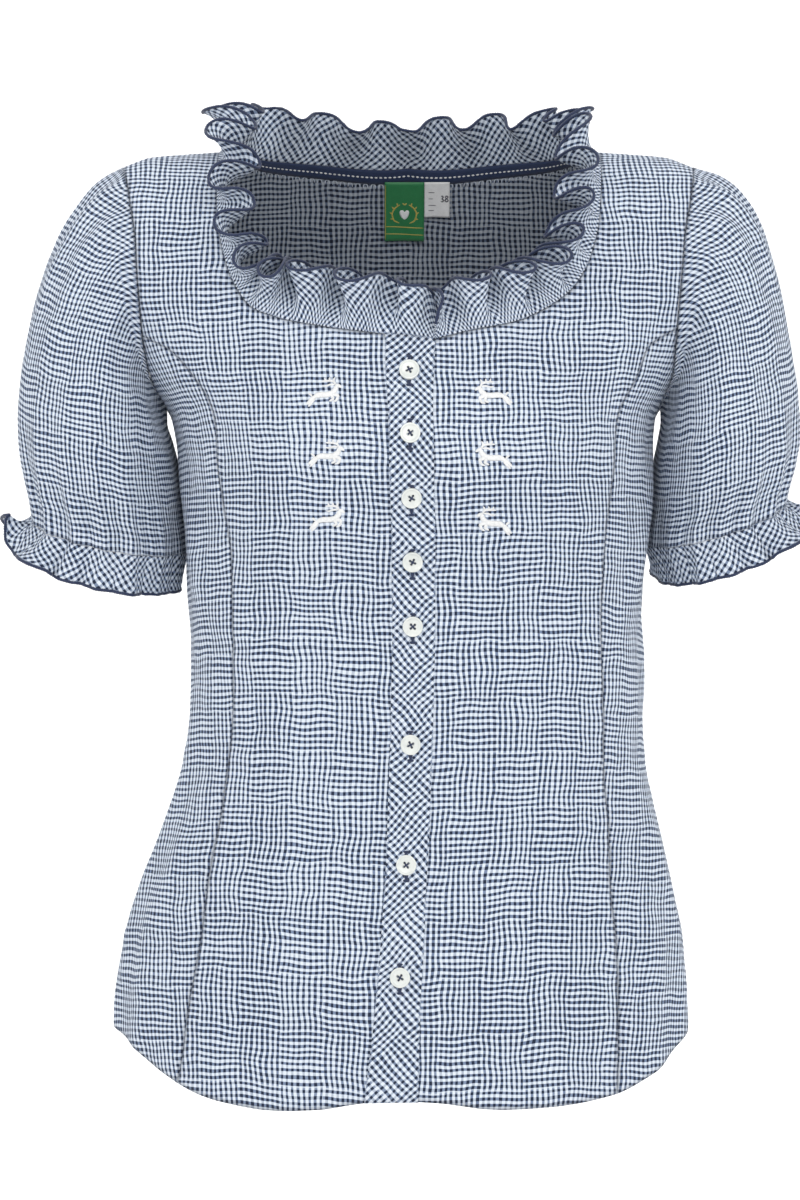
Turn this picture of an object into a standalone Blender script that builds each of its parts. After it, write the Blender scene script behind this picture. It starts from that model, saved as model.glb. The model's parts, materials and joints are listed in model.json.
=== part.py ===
"""A dirndl blouse, filled out as when worn, with nobody in it.

Metres, +Z up, the front faces -Y. The origin lies between the two neck points, where the
wearer's shoulders carry it. Right and left are the wearer's own: the right side is at -X.
Every panel lies on one torso form. A place on the form is a turn round it, 0 at the centre
front and a quarter turn at the left side seam, and a climb: the height above the level where
the form starts to roll over the shoulders, and above it the way over them.
"""

import math

import bmesh
import bpy
import numpy as np
from mathutils import Matrix, Vector

MM = 0.001
QUARTER = math.pi / 2

# Cloth
WALL = 1.2 * MM
SEAM = 0.3 * MM
LAID_ON = 0.5 * MM
TRIM_WALL = 1.0 * MM
WELD = 0.0001 * MM

# Torso form
GIRTH_ROUND = 2.25
ROLL_START = -110 * MM
OVER_SHOULDER = 150 * MM
MEAN_RADIUS = 140 * MM
BUST_OUT = 75 * MM
BUST_HEIGHT = -192 * MM
BUST_RISE = 15 * MM
BUST_WIDTH = 52 * MM
BUST_TALL = 62 * MM
BUST_BRIDGE = 24 * MM
GIRTH_CUT = QUARTER + 0.3
FOLD_HALF = 0.42
BUST_TO_SIDE = 3
LINE_SAMPLES = 400
SHARPEST_CORNER = 0.3

# Placket and buttons
PLACKET_TOP_GAP = 1.5 * MM
BUTTON_RADIUS = 6.35 * MM
BUTTON_THICK = 2.6 * MM
BUTTON_RIM = 1.5 * MM
BUTTON_DISH = 0.6 * MM
BUTTON_STEPS = 16
BUTTON_ROWS = 0.22
BUTTON_BACK = 0.86

# Tape and labels inside the back neck
TAPE_WIDTH = 9 * MM
TAPE_STEPS = 3
TAPE_LIFT = 0.7 * MM
TAPE_END = 0.08
TAPE_ROW = 0.98
LABEL_SIZE = (26 * MM, 37 * MM)
LABEL_MIDDLE = -2.3 * MM
SIZE_LABEL_SIZE = (16.5 * MM, 23 * MM)
SIZE_LABEL_MIDDLE = 20 * MM

# Rows and columns of the panels
HEM_TO_NECK_ROWS = 14
NECK_TO_ARMHOLE_ROWS = 4
ARMHOLE_ROWS = 5
FRONT_COLUMNS = 6
SIDE_COLUMNS = 5
BACK_ARMHOLE_ROWS = 10
BACK_NECK_COLUMNS = 12
BACK_SHOULDER_COLUMNS = 3

# Frills and sleeves
SLEEVE_STEPS = 3
NECK_FRILL_STEPS = 6
CUFF_FRILL_STEPS = 66
FRILL_ROWS = 3
FRILL_ROW_STEPS = 4
FRILL_CURL = 0.45
SLIP_CURL = 1.3
ROUNDED_LOBES = 0.1
PINCHED_VALLEYS = 0.05
DEEP_SWING = math.radians(48)
FRILL_END_GAP = 1.2 * MM
FRILL_END_ROUND = 16 * MM
FRILL_END_WIDTH = 0.3
HEAD_PLEATS = 15
CUFF_GATHERS = 15
PLEAT_REACH = 0.25
PLEAT_TOP = 0.5
PLEAT_UNEVEN = 0.3
GATHER_START = 1.2
BESIDE_BODY = 0.8
PUFF_ROW = 5


def table(names, *rows, unit=MM):
    """Named columns of a table. Its numbers are millimetres unless another unit is given."""
    values = np.array(rows, float) * unit
    return {name: values[:, i] for i, name in enumerate(names.split())}


# Sides and depths of the torso form
TORSO = table(
    "height right left front back",
    (-650, -194, 186, 116, 127),
    (-608, -192, 184, 116, 126),
    (-552, -189.5, 182, 114, 123),
    (-507, -183, 178.5, 110, 117),
    (-476, -174.5, 172, 106, 112),
    (-434, -158.5, 162.5, 101, 104),
    (-393, -146, 154, 98, 98),
    (-361, -142, 152, 97, 95),
    (-320, -140.5, 150.5, 98, 94),
    (-280, -143, 153, 102, 97),
    (-240, -144.5, 156, 109, 101),
    (-193, -149, 158, 115, 105),
    (-171, -153.5, 160.5, 114, 106),
    (-140, -175, 179, 110, 106),
    (-100, -194, 197, 101, 102),
    (-50, -204, 207, 93, 93),
    (0, -212, 215, 88, 84),
)

# The line over the shoulders, from the middle out: it climbs beside the neck
RIDGE = table(
    "out height",
    (0, 50),
    (60, 36),
    (100, 13),
    (122, 1.5),
    (142, 0),
    (166, -2),
    (184, -8),
    (215, -16),
)

# Hem heights in millimetres by the turn in degrees
HEM = table(
    "turn height",
    (-90, -558),
    (-66, -572),
    (-54, -586),
    (-43, -597),
    (-33, -604),
    (-22, -607.5),
    (-13, -606),
    (-5, -601.5),
    (2, -601),
    (17, -606.5),
    (29, -605),
    (44, -600),
    (55, -590),
    (66, -577),
    (90, -557),
    (110, -575),
    (130, -592),
    (150, -600),
    (180, -603),
    (210, -600),
    (230, -592),
    (250, -575),
    (270, -558),
    unit=1,
)

# Largest folds: each runs from its top to its foot, girths counted from the centre front
FOLDS = table(
    "top_girth top_height low_girth low_height width depth",
    (-205, -190, -160, -300, 14, 3),
    (-185, -330, -196, -640, 13, 3.5),
    (-152, -420, -158, -640, 12, 2.5),
    (-95, -500, -100, -650, 16, 2),
    (60, -480, 66, -650, 17, 2),
    (205, -180, 168, -290, 14, 3),
    (178, -400, 186, -640, 14, 3.5),
    (150, -460, 140, -650, 13, 2.5),
    (226, -300, 205, -360, 10, 2.5),
    (262, -420, 268, -640, 18, 4),
    (330, -440, 322, -650, 20, 4.5),
    (395, -440, 392, -650, 20, 4),
    (470, -440, 476, -650, 20, 4.5),
    (540, -430, 534, -640, 18, 4),
    (300, -180, 380, -230, 16, -2.5),
    (585, -180, 500, -230, 16, -2.5),
)

# Seams in the front view, from the foot up
PRINCESS_RIGHT = table(
    "x z",
    (-146, -592),
    (-142, -572),
    (-132, -507),
    (-121, -434),
    (-114, -380),
    (-111.5, -322),
    (-113, -264),
    (-121, -205),
    (-133, -151),
    (-149, -131),
    (-169.5, -119),
)
PRINCESS_LEFT = table(
    "x z",
    (133, -601),
    (130, -484),
    (127, -419),
    (124.5, -354),
    (123.5, -289),
    (125.5, -250),
    (131, -198),
    (140, -155),
    (151, -129),
    (170.5, -114),
)
ARMHOLE_RIGHT = table(
    "height front back",
    (-30, -179, -181),
    (-50, -175, -178.5),
    (-94, -171.5, -176),
    (-134, -168, -171),
)
ARMHOLE_LEFT = table(
    "height front back",
    (-30, 182, 184),
    (-50, 178, 181.5),
    (-94, 173.5, 178.5),
    (-134, 170.5, 174),
)
SHOULDER_TIP = 185 * MM
UNDERARM = -171 * MM
NECKLINE_RIGHT = table(
    "x z",
    (-14.5, -119.5),
    (-36, -117),
    (-57, -114),
    (-80, -109.5),
    (-99, -102),
    (-110.5, -86),
    (-117, -67),
    (-121, -44),
    (-121.8, -19),
    (-121.5, 2),
)
NECKLINE_LEFT = table(
    "x z",
    (17, -122.5),
    (39.5, -117),
    (65, -112),
    (88, -102),
    (105, -88),
    (115, -70),
    (121, -46),
    (123.3, -20),
    (122.5, 2),
)
BACK_NECK = table(
    "x z",
    (122, 2),
    (113, 0.5),
    (95, -1.5),
    (60, -3.5),
    (0, -5),
    (-60, -3.5),
    (-95, -1.5),
    (-113, 0.5),
    (-121.5, 2),
)
NECK_CORNER_RIGHT = -99 * MM
NECK_CORNER_LEFT = -95 * MM
NECK_LEVEL = -205 * MM

# Edges of the front strip, and the line where the two fronts meet below it
PLACKET = table(
    "height right middle left",
    (-604, -27.5, -10.5, 6.2),
    (-538, -20.5, -6, 7.8),
    (-476, -15.5, -2.3, 10.8),
    (-410, -12.5, 0.8, 14),
    (-360, -11, 2.2, 15.8),
    (-300, -10, 3.2, 17),
    (-220, -11.3, 2.2, 16.4),
    (-121, -14.5, 1, 17),
)
BUTTON_HEIGHTS = np.array((-143, -182, -221.5, -261.5, -302.5, -377.5, -453, -523)) * MM

# Sleeve sections from the armhole to the cuff: the outer and the inner end, and the half depth
SLEEVE_COLUMNS = "outer_x outer_z inner_x inner_z depth forward drop"
SLEEVE_RIGHT = table(
    SLEEVE_COLUMNS,
    (-185, -8, -153.5, -171, 57, 0, 0),
    (-201, -19, -156, -166.5, 59, 0, 0),
    (-221, -45, -156, -175, 63, 1, 0),
    (-235, -76, -152.5, -188, 66, 2, 1),
    (-245, -110, -149.7, -200, 67, 3, 3),
    (-250, -140, -147.6, -212, 67, 3, 5),
    (-251.5, -165, -146.1, -222, 65, 3, 7),
    (-250, -188, -145, -232, 62, 3, 8),
    (-246.5, -208, -144.3, -240.5, 57, 3, 9),
    (-243.5, -223, -143.9, -248, 52.5, 3, 10),
    (-243, -235, -143.6, -255, 51, 3, 11),
)
SLEEVE_LEFT = table(
    SLEEVE_COLUMNS,
    (185, -8, 160.5, -171, 57, 0, 0),
    (207, -17.5, 163.5, -166, 59, 0, 0),
    (224.5, -38, 164, -174, 63, 1, 0),
    (236, -68, 162.3, -186.5, 66, 2, 1),
    (244, -101, 160.2, -198.5, 67, 3, 3),
    (248.5, -130, 158.5, -210, 67, 3, 5),
    (251.5, -156, 157.3, -220, 65, 3, 7),
    (252, -179, 156.4, -229.5, 62, 3, 8),
    (249, -198, 155.8, -237.5, 57, 3, 9),
    (245.5, -212.5, 155.3, -244, 52.5, 3, 9),
    (244, -224, 154.9, -251, 51, 3, 10),
)
# Pleat heights by section, how far the armhole's own outline lasts, and the cuff's gathers
SLEEVE_FORM = table(
    "pleat gather keep back",
    (0, 0, 1000, 0),
    (1.8, 0, 850, 0),
    (1.7, 0, 600, 3),
    (1.1, 0, 350, 8),
    (0.6, 0.1, 150, 13),
    (0.3, 0.3, 50, 18),
    (0.1, 0.7, 0, 22),
    (0, 1.3, 0, 25),
    (0, 1.9, 0, 27),
    (0, 2.0, 0, 28),
    (0, 1.7, 0, 28),
)

# The lobes of the frills by their way round: width in mm, lean and swing in degrees
LOBE_COLUMNS = "at width lean swing skew"
NECK_LOBES = table(
    LOBE_COLUMNS,
    (0.02, 34, 22, 34, 0.1),
    (0.062, 38, 30, 50, 0.25),
    (0.103, 38, 28, 52, 0.2),
    (0.142, 37, 34, 48, -0.15),
    (0.177, 32, 50, 48, -0.1),
    (0.208, 30, 66, 46, 0.05),
    (0.25, 31, 76, 50, -0.1),
    (0.29, 31, 84, 52, 0.05),
    (0.335, 34, 100, 52, 0.15),
    (0.39, 36, 34, 34, 0.1),
    (0.445, 36, -2, 20, 0.05),
    (0.5, 35, -6, 18, -0.05),
    (0.552, 37, -6, 19, 0.05),
    (0.605, 36, 0, 22, -0.05),
    (0.655, 34, 22, 28, 0.1),
    (0.697, 31, 56, 42, 0.05),
    (0.74, 31, 64, 44, -0.1),
    (0.782, 31, 60, 48, 0.1),
    (0.82, 31, 54, 46, -0.1),
    (0.857, 32, 46, 48, -0.15),
    (0.893, 35, 38, 50, -0.2),
    (0.93, 36, 30, 50, -0.25),
    (0.965, 34, 26, 46, -0.15),
    unit=1,
)
CUFF_LOBES = table(
    LOBE_COLUMNS,
    (0.015, 21, 88, 36, 0.1),
    (0.13, 24, 32, 22, 0.1),
    (0.3, 25, 14, 12, 0),
    (0.46, 25, 1, 3, 0),
    (0.6, 25, 4, 8, -0.1),
    (0.74, 25, 26, 22, 0.2),
    (0.88, 24, 40, 28, -0.2),
    unit=1,
)

COLOURS = {
    "check": (0.24, 0.30, 0.45),
    "bias check": (0.24, 0.30, 0.45),
    "navy": (0.012, 0.02, 0.07),
    "green": (0.02, 0.16, 0.05),
    "white": (0.85, 0.85, 0.83),
    "pearl": (0.80, 0.81, 0.79),
}


def smooth(at, knots, values):
    """Cubic through the knots that never overshoots, level past its ends."""
    knots = np.asarray(knots, float)
    values = np.asarray(values, float)
    steps = np.diff(knots)
    slopes = np.diff(values) / steps
    total = slopes[:-1] + slopes[1:]
    level = slopes[:-1] * slopes[1:] <= 0
    inner = np.where(level, 0, 2 * slopes[:-1] * slopes[1:] / np.where(level, 1, total))
    tangents = np.concatenate([[slopes[0]], inner, [slopes[-1]]])
    at = np.clip(at, knots[0], knots[-1])
    i = np.clip(np.searchsorted(knots, at, side="right") - 1, 0, len(steps) - 1)
    step = steps[i]
    u = (at - knots[i]) / step
    start = values[i] * (1 + 2 * u) * (1 - u) ** 2 + tangents[i] * step * u * (1 - u) ** 2
    return start + values[i + 1] * u**2 * (3 - 2 * u) + tangents[i + 1] * step * u**2 * (u - 1)


def unit(vectors):
    return vectors / np.maximum(np.linalg.norm(vectors, axis=-1, keepdims=True), 1e-12)


def swell(value, power=2 / GIRTH_ROUND):
    """A sine or cosine pushed out from a circle's, for rounded corners."""
    return np.sign(value) * np.abs(value) ** power


def sides(level):
    right = smooth(level, TORSO["height"], TORSO["right"])
    left = smooth(level, TORSO["height"], TORSO["left"])
    return (left + right) / 2, (left - right) / 2


def fold_rise(turn, z):
    """How far the folds stand out at a place of the form."""
    girth = (np.mod(turn + GIRTH_CUT, 2 * math.pi) - GIRTH_CUT) * MEAN_RADIUS
    rise = np.zeros(np.shape(z))
    for i in range(len(FOLDS["width"])):
        top = np.array([FOLDS["top_girth"][i], FOLDS["top_height"][i]])
        run = np.array([FOLDS["low_girth"][i], FOLDS["low_height"][i]]) - top
        length = np.hypot(*run)
        along = ((girth - top[0]) * run[0] + (z - top[1]) * run[1]) / length**2
        across = ((girth - top[0]) * run[1] - (z - top[1]) * run[0]) / length
        fade = np.exp(-(((along - 0.5) / FOLD_HALF) ** 4))
        rise = rise + FOLDS["depth"][i] * np.exp(-((across / FOLDS["width"][i]) ** 2)) * fade
    return rise


def bust_rise(out, z):
    """The room that the princess seams give. The cloth bridges the middle with only a slight dip."""
    bridged = BUST_BRIDGE * (1 + np.cos(math.pi * np.clip(out / BUST_OUT, 0, 1))) / 2
    across = np.where(out < BUST_OUT, bridged, out - BUST_OUT) / BUST_WIDTH
    return BUST_RISE * np.exp(-(across**2) - ((z - BUST_HEIGHT) / BUST_TALL) ** 2)


def torso(turn, climb):
    """Points of the cloth's outer face."""
    turn, climb = np.broadcast_arrays(turn, climb)
    roll = np.clip(climb / OVER_SHOULDER, 0, 1) * QUARTER
    level = ROLL_START * (1 - np.sin(roll)) + np.minimum(climb, 0)
    middle, half = sides(level)
    x = middle + half * swell(np.sin(turn))
    ridge = smooth(np.abs(x), RIDGE["out"], RIDGE["height"])
    z = np.where(climb > 0, ROLL_START + (ridge - ROLL_START) * np.sin(roll), ROLL_START + climb)
    front = smooth(level, TORSO["height"], TORSO["front"])
    back = smooth(level, TORSO["height"], TORSO["back"])
    ahead = np.cos(turn)
    y = -np.where(ahead > 0, front, back) * swell(ahead) * np.cos(roll)
    y = y - np.where(ahead > 0, bust_rise(np.abs(x - middle), z) * np.clip(ahead * BUST_TO_SIDE, 0, 1), 0)
    rise = fold_rise(turn, z) * np.cos(roll)
    return np.stack([x + rise * np.sin(turn), y - rise * ahead, z], -1)


def torso_normal(turn, climb):
    step = 1e-4
    across = torso(turn + step, climb) - torso(turn - step, climb)
    up = torso(turn, climb + step) - torso(turn, climb - step)
    return unit(np.cross(across, up))


def place(x, z, behind=False):
    """The turn and climb of the form's point that is seen at x, z from the front."""
    ridge = smooth(np.abs(x), RIDGE["out"], RIDGE["height"])
    over = np.clip((z - ROLL_START) / (ridge - ROLL_START), 0, 1)
    climb = np.where(z > ROLL_START, np.arcsin(over) / QUARTER * OVER_SHOULDER, z - ROLL_START)
    middle, half = sides(np.where(z > ROLL_START, ROLL_START * (1 - over), z))
    turn = np.arcsin(np.clip(swell((x - middle) / half, GIRTH_ROUND / 2), -1, 1))
    return np.stack([np.where(behind, math.pi - turn, turn), climb], -1)


def hem_place(turn):
    height = smooth(np.degrees(turn), HEM["turn"], HEM["height"]) * MM
    return np.stack([turn, height - ROLL_START], -1)


def spread(knots, count):
    """Count + 1 places at even lengths of a smooth line through the knots."""
    knots = np.asarray(knots, float)
    chord = np.hypot(np.diff(knots[:, 0]) * MEAN_RADIUS, np.diff(knots[:, 1]))
    way = np.concatenate([[0], np.cumsum(chord)])
    fine = np.linspace(0, way[-1], LINE_SAMPLES)
    line = np.stack([smooth(fine, way, knots[:, i]) for i in range(2)], -1)
    points = torso(line[:, 0], line[:, 1])
    run = np.concatenate([[0], np.cumsum(np.linalg.norm(np.diff(points, axis=0), axis=1))])
    at = np.linspace(0, run[-1], count + 1)
    return np.stack([np.interp(at, run, line[:, i]) for i in range(2)], -1)


def join(*lines):
    """Lines that share their end points, as one."""
    return np.concatenate([lines[0]] + [line[1:] for line in lines[1:]])


def patch(bottom, top, inner, outer):
    """Places inside four edges. Rows run up, from the inner edge to the outer one."""
    u = np.linspace(0, 1, len(bottom))[None, :, None]
    v = np.linspace(0, 1, len(inner))[:, None, None]
    ruled = (1 - v) * bottom[None] + v * top[None] + (1 - u) * inner[:, None] + u * outer[:, None]
    low_corners = (1 - u) * (1 - v) * bottom[0] + u * (1 - v) * bottom[-1]
    high_corners = (1 - u) * v * top[0] + u * v * top[-1]
    return ruled - low_corners - high_corners


def grid_faces(rows, columns, start=0, closed=False):
    """Four-sided faces of a grid of points stored row by row."""
    steps = columns if closed else columns - 1
    i, j = np.meshgrid(np.arange(rows - 1), np.arange(steps), indexing="ij")
    right = (j + 1) % columns
    corners = (i * columns + j, i * columns + right, (i + 1) * columns + right, (i + 1) * columns + j)
    return np.stack([start + c.ravel() for c in corners], -1)


def welded(points, faces):
    """Points at one place made one."""
    keys = np.round(points / WELD)
    _, first, index = np.unique(keys, axis=0, return_index=True, return_inverse=True)
    return first, index.reshape(-1)[faces]


def rim_edges(faces):
    """Edges with one face, in the direction that their face runs."""
    ends = np.concatenate([np.stack([faces[:, k], faces[:, (k + 1) % 4]], -1) for k in range(4)])
    keys = {(a, b) for a, b in ends.tolist()}
    return [(a, b) for a, b in ends.tolist() if (b, a) not in keys]


def drawn_in(points, normals, faces, gap):
    """How each rim point moves in from its edge, so that two pieces end up apart at a seam."""
    inward = {}
    for a, b in rim_edges(faces):
        edge = unit(points[b] - points[a])
        for end in (a, b):
            inward.setdefault(end, []).append(unit(np.cross(normals[end], edge)))
    shift = np.zeros_like(points)
    for end, (first, second) in inward.items():
        shift[end] = gap * (first + second) / max(1 + float(first @ second), SHARPEST_CORNER)
    return shift


def material(name, colour, roughness=0.85):
    """One Principled material for each piece."""
    made = bpy.data.materials.new(name)
    made.use_nodes = True
    shader = made.node_tree.nodes["Principled BSDF"]
    shader.inputs["Base Color"].default_value = (*colour, 1)
    shader.inputs["Roughness"].default_value = roughness
    return made


def finished(name, mesh, colour, roughness=0.85):
    piece = bpy.data.objects.new(name, mesh)
    bpy.context.collection.objects.link(piece)
    mesh.materials.append(material(name, COLOURS[colour], roughness))
    mesh.shade_smooth()
    mesh.set_sharp_from_angle(angle=math.radians(50))
    return piece


def wall(name, outer, inner, faces, colour):
    """A closed sheet between an outer and an inner face that share their faces' order."""
    count = len(outer)
    halves = np.concatenate([faces[:, [0, 1, 2]], faces[:, [0, 2, 3]]])
    two_faces = halves.tolist() + (halves[:, ::-1] + count).tolist()
    rims = [(b, a, a + count, b + count) for a, b in rim_edges(faces)]
    mesh = bpy.data.meshes.new(name)
    mesh.from_pydata(np.concatenate([outer, inner]).tolist(), [], two_faces + rims)
    return finished(name, mesh, colour)


def panel(name, grids, colour="check"):
    """A cut piece of cloth from grids of places on the form, drawn in at its seams."""
    points, faces = [], []
    start = 0
    for grid in grids:
        rows, columns = grid.shape[:2]
        points.append(grid.reshape(-1, 2))
        faces.append(grid_faces(rows, columns, start))
        start += rows * columns
    places = np.concatenate(points)
    outer = torso(places[:, 0], places[:, 1])
    normals = torso_normal(places[:, 0], places[:, 1])
    first, faces = welded(outer, np.concatenate(faces))
    outer, normals = outer[first], normals[first]
    shift = drawn_in(outer, normals, faces, SEAM / 2)
    return wall(name, outer + shift, outer + shift - normals * WALL, faces, colour)


def side_data(side):
    """What differs between the wearer's right and left half."""
    right = side < 0
    return {
        "princess": PRINCESS_RIGHT if right else PRINCESS_LEFT,
        "armhole": ARMHOLE_RIGHT if right else ARMHOLE_LEFT,
        "neckline": NECKLINE_RIGHT if right else NECKLINE_LEFT,
        "corner": NECK_CORNER_RIGHT if right else NECK_CORNER_LEFT,
        "placket": "right" if right else "left",
        "sleeve": SLEEVE_RIGHT if right else SLEEVE_LEFT,
        "name": "right" if right else "left",
    }


def armhole_line(side, behind):
    """Knots of the armhole from the underarm up to the shoulder tip."""
    armhole = side_data(side)["armhole"]
    column = armhole["back" if behind else "front"][::-1]
    knots = place(column, armhole["height"][::-1], behind)
    tip = place(np.array(side * SHOULDER_TIP), np.array(MM), behind)
    under = np.array([side * QUARTER, UNDERARM - ROLL_START])
    if behind and side < 0:
        under[0] = 3 * QUARTER
    return np.concatenate([[under], knots, [tip]])


def split_at(knots, height, below, above):
    """A line parted at a height of its own: its two stretches, as evenly spread places."""
    fine = spread(knots, LINE_SAMPLES)
    heights = torso(fine[:, 0], fine[:, 1])[:, 2]
    cut = int(np.argmin(np.abs(heights - height)))
    return spread(fine[: cut + 1], below), spread(fine[cut:], above)


def seams(side):
    """The shared seam places of one half: every panel beside a seam takes its points from here."""
    data = side_data(side)
    armhole = armhole_line(side, False)
    low_armhole, high_armhole = split_at(armhole, data["princess"]["z"][-1], SIDE_COLUMNS, ARMHOLE_ROWS)
    princess = place(data["princess"]["x"], data["princess"]["z"])
    princess[0] = hem_place(princess[0, 0])
    princess[-1] = high_armhole[0]
    rows = (HEM_TO_NECK_ROWS, NECK_TO_ARMHOLE_ROWS)
    low_princess, high_princess = split_at(princess, NECK_LEVEL, *rows)
    neckline = place(data["neckline"]["x"], data["neckline"]["z"])
    low_neck, high_neck = split_at(neckline, data["corner"], NECK_TO_ARMHOLE_ROWS, ARMHOLE_ROWS)
    edge = place(PLACKET[data["placket"]], PLACKET["height"])
    edge[0] = hem_place(edge[0, 0])
    edge[-1] = neckline[0]
    side_seam = np.stack([np.full(2, side * QUARTER), [0, UNDERARM - ROLL_START]], -1)
    side_seam[0] = hem_place(side_seam[0, 0])
    return {
        "princess": join(low_princess, high_princess),
        "low_armhole": low_armhole,
        "high_armhole": high_armhole,
        "neckline": join(low_neck, high_neck),
        "edge": spread(edge, HEM_TO_NECK_ROWS),
        "side": spread(side_seam, HEM_TO_NECK_ROWS + NECK_TO_ARMHOLE_ROWS),
        "shoulder": spread([high_neck[-1], high_armhole[-1]], FRONT_COLUMNS),
    }


def hem_line(start, end, count):
    """Hem places between two turns."""
    knots = hem_place(np.linspace(start, end, 12))
    return spread(knots, count)


def middle_line():
    """The line below the front strip where the two fronts meet."""
    knots = place(PLACKET["middle"], PLACKET["height"])
    knots[0] = hem_place(knots[0, 0])
    return spread(knots, HEM_TO_NECK_ROWS)


def strip_grid(first, second):
    """A narrow stretch between two lines with the same rows."""
    return np.stack([first, second], 1)


def front_grids(side):
    """The centre front: the stretch below the front strip, and the rest of it."""
    line = seams(side)
    middle = middle_line()
    hem = hem_line(line["edge"][0, 0], line["princess"][0, 0], FRONT_COLUMNS)
    inner = join(line["edge"], line["neckline"])
    outer = join(line["princess"], line["high_armhole"])
    body = patch(hem, line["shoulder"], inner, outer)
    strip = strip_grid(middle, line["edge"])
    if side < 0:
        return [body[:, ::-1], strip[:, ::-1]]
    return [body, strip]


def side_front_grids(side):
    line = seams(side)
    hem = hem_line(line["princess"][0, 0], line["side"][0, 0], SIDE_COLUMNS)
    body = patch(hem, line["low_armhole"][::-1], line["princess"], line["side"])
    return [body[:, ::-1]] if side < 0 else [body]


def back_neck_line():
    knots = place(BACK_NECK["x"], BACK_NECK["z"], True)
    return spread(knots, BACK_NECK_COLUMNS)


def back_side(side):
    """The back's own copy of a side seam and armhole, up to the shoulder tip."""
    seam = seams(side)["side"].copy()
    if side < 0:
        seam[:, 0] = 3 * QUARTER
    return seam, spread(armhole_line(side, True), BACK_ARMHOLE_ROWS)


def back_grid():
    left, right = (join(*back_side(side)) for side in (1, -1))
    neck = back_neck_line()
    top = join(
        spread([left[-1], neck[0]], BACK_SHOULDER_COLUMNS),
        neck,
        spread([neck[-1], right[-1]], BACK_SHOULDER_COLUMNS),
    )
    hem = hem_line(left[0, 0], right[0, 0], len(top) - 1)
    return patch(hem, top, left, right)


def form_edge(places):
    """Outer points and normals along a line of places."""
    return torso(places[:, 0], places[:, 1]), torso_normal(places[:, 0], places[:, 1])


def along_edge(points, normals, steps, ring):
    """A seam edge's points, normals and the way off the cloth, with steps to each straight stretch."""
    if ring:
        before, after = np.roll(points, 1, 0), np.roll(points, -1, 0)
    else:
        before = np.concatenate([points[:1], points[:-1]])
        after = np.concatenate([points[1:], points[-1:]])
    tangents = unit(after - before)
    off = unit(np.cross(tangents, normals))
    sets = []
    for values in (points, normals, off):
        ends = np.concatenate([values, values[:1]]) if ring else values
        at = np.linspace(0, len(ends) - 1, (len(ends) - 1) * steps + 1)
        at = at[:-1] if ring else at
        low = np.minimum(at.astype(int), len(ends) - 2)
        share = (at - low)[:, None]
        sets.append(ends[low] * (1 - share) + ends[low + 1] * share)
    return sets[0], unit(sets[1]), unit(sets[2])


def around(share, at, values, ring, jump=0):
    """A table's column at each share of the way, joined end to start round a ring."""
    at, values = np.asarray(at, float), np.asarray(values, float)
    if ring:
        at = np.concatenate([at[-2:] - 1, at, at[:2] + 1])
        values = np.concatenate([values[-2:] - jump, values, values[:2] + jump])
    elif jump:
        first, last = at[0] - (at[1] - at[0]), at[-1] + (at[-1] - at[-2])
        at = np.concatenate([[first], at, [last]])
        values = np.concatenate([[values[0] - 1], values, [values[-1] + 1]])
    return smooth(share, at, values)


def frill(name, base, away, out, share, lobes, ring=False, taper=1.0):
    """A gathered strip. It leaves its seam along away, and its lobes swing towards out and back."""
    crests = np.arange(len(lobes["at"]))
    wave = {key: around(share, lobes["at"], lobes[key], ring) for key in ("width", "lean", "swing", "skew")}
    phase = 2 * math.pi * around(share, lobes["at"], crests, ring, len(crests))
    swing = np.radians(wave["swing"])
    angle = np.radians(wave["lean"]) + swing * np.cos(phase)
    loops = ROUNDED_LOBES * np.sin(2 * phase) + PINCHED_VALLEYS * np.sin(phase)
    slip = wave["skew"] * np.cos(phase) + loops * (swing / DEEP_SWING) ** 2
    width = wave["width"] * MM * taper
    levels = np.linspace(0, 1, FRILL_ROWS * FRILL_ROW_STEPS + 1)
    run_away, run_out = np.zeros_like(angle), np.zeros_like(angle)
    middle = base - out * WALL / 2
    rows = [middle]
    if ring:
        tangents = unit(np.roll(base, -1, 0) - np.roll(base, 1, 0))
    else:
        tangents = unit(np.gradient(base, axis=0))
    for low, high in zip(levels, levels[1:]):
        bend = angle * ((low + high) / 2) ** FRILL_CURL
        run_away = run_away + np.cos(bend) * (high - low)
        run_out = run_out + np.sin(bend) * (high - low)
        moved = slip * high**SLIP_CURL
        offset = away * run_away[:, None] + out * run_out[:, None] + tangents * moved[:, None]
        rows.append(middle + offset * width[:, None])
    grid = np.stack(rows[::FRILL_ROW_STEPS])
    up = np.gradient(grid, axis=0)
    if ring:
        across = np.roll(grid, -1, 1) - np.roll(grid, 1, 1)
    else:
        across = np.gradient(grid, axis=1)
    normals = unit(np.cross(across, up))
    normals *= np.sign(np.sum(normals[0] * out, -1).mean())
    normals[0] = out
    count = grid.shape[1]
    faces = grid_faces(len(grid), count, closed=ring)
    outer = (grid + normals * WALL / 2).reshape(-1, 3)
    inner = (grid - normals * WALL / 2).reshape(-1, 3)
    if np.sum(np.cross(across[0], up[0]) * out) < 0:
        faces = faces[:, ::-1]
    return wall(name, outer, inner, faces, "bias check")


def neckline_edge():
    """The whole neckline from the front strip's left edge, by way of the right shoulder, and back."""
    right, left = seams(-1), seams(1)
    strips = np.stack([left["edge"][-1], middle_line()[-1], right["edge"][-1]])
    front_right = join(strips, right["neckline"])
    back = back_neck_line()[::-1]
    points, normals = [], []
    for line in (front_right[:-1], back[:-1], left["neckline"][::-1]):
        found = form_edge(line)
        points.append(found[0])
        normals.append(found[1])
    return np.concatenate(points), np.concatenate(normals)


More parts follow.
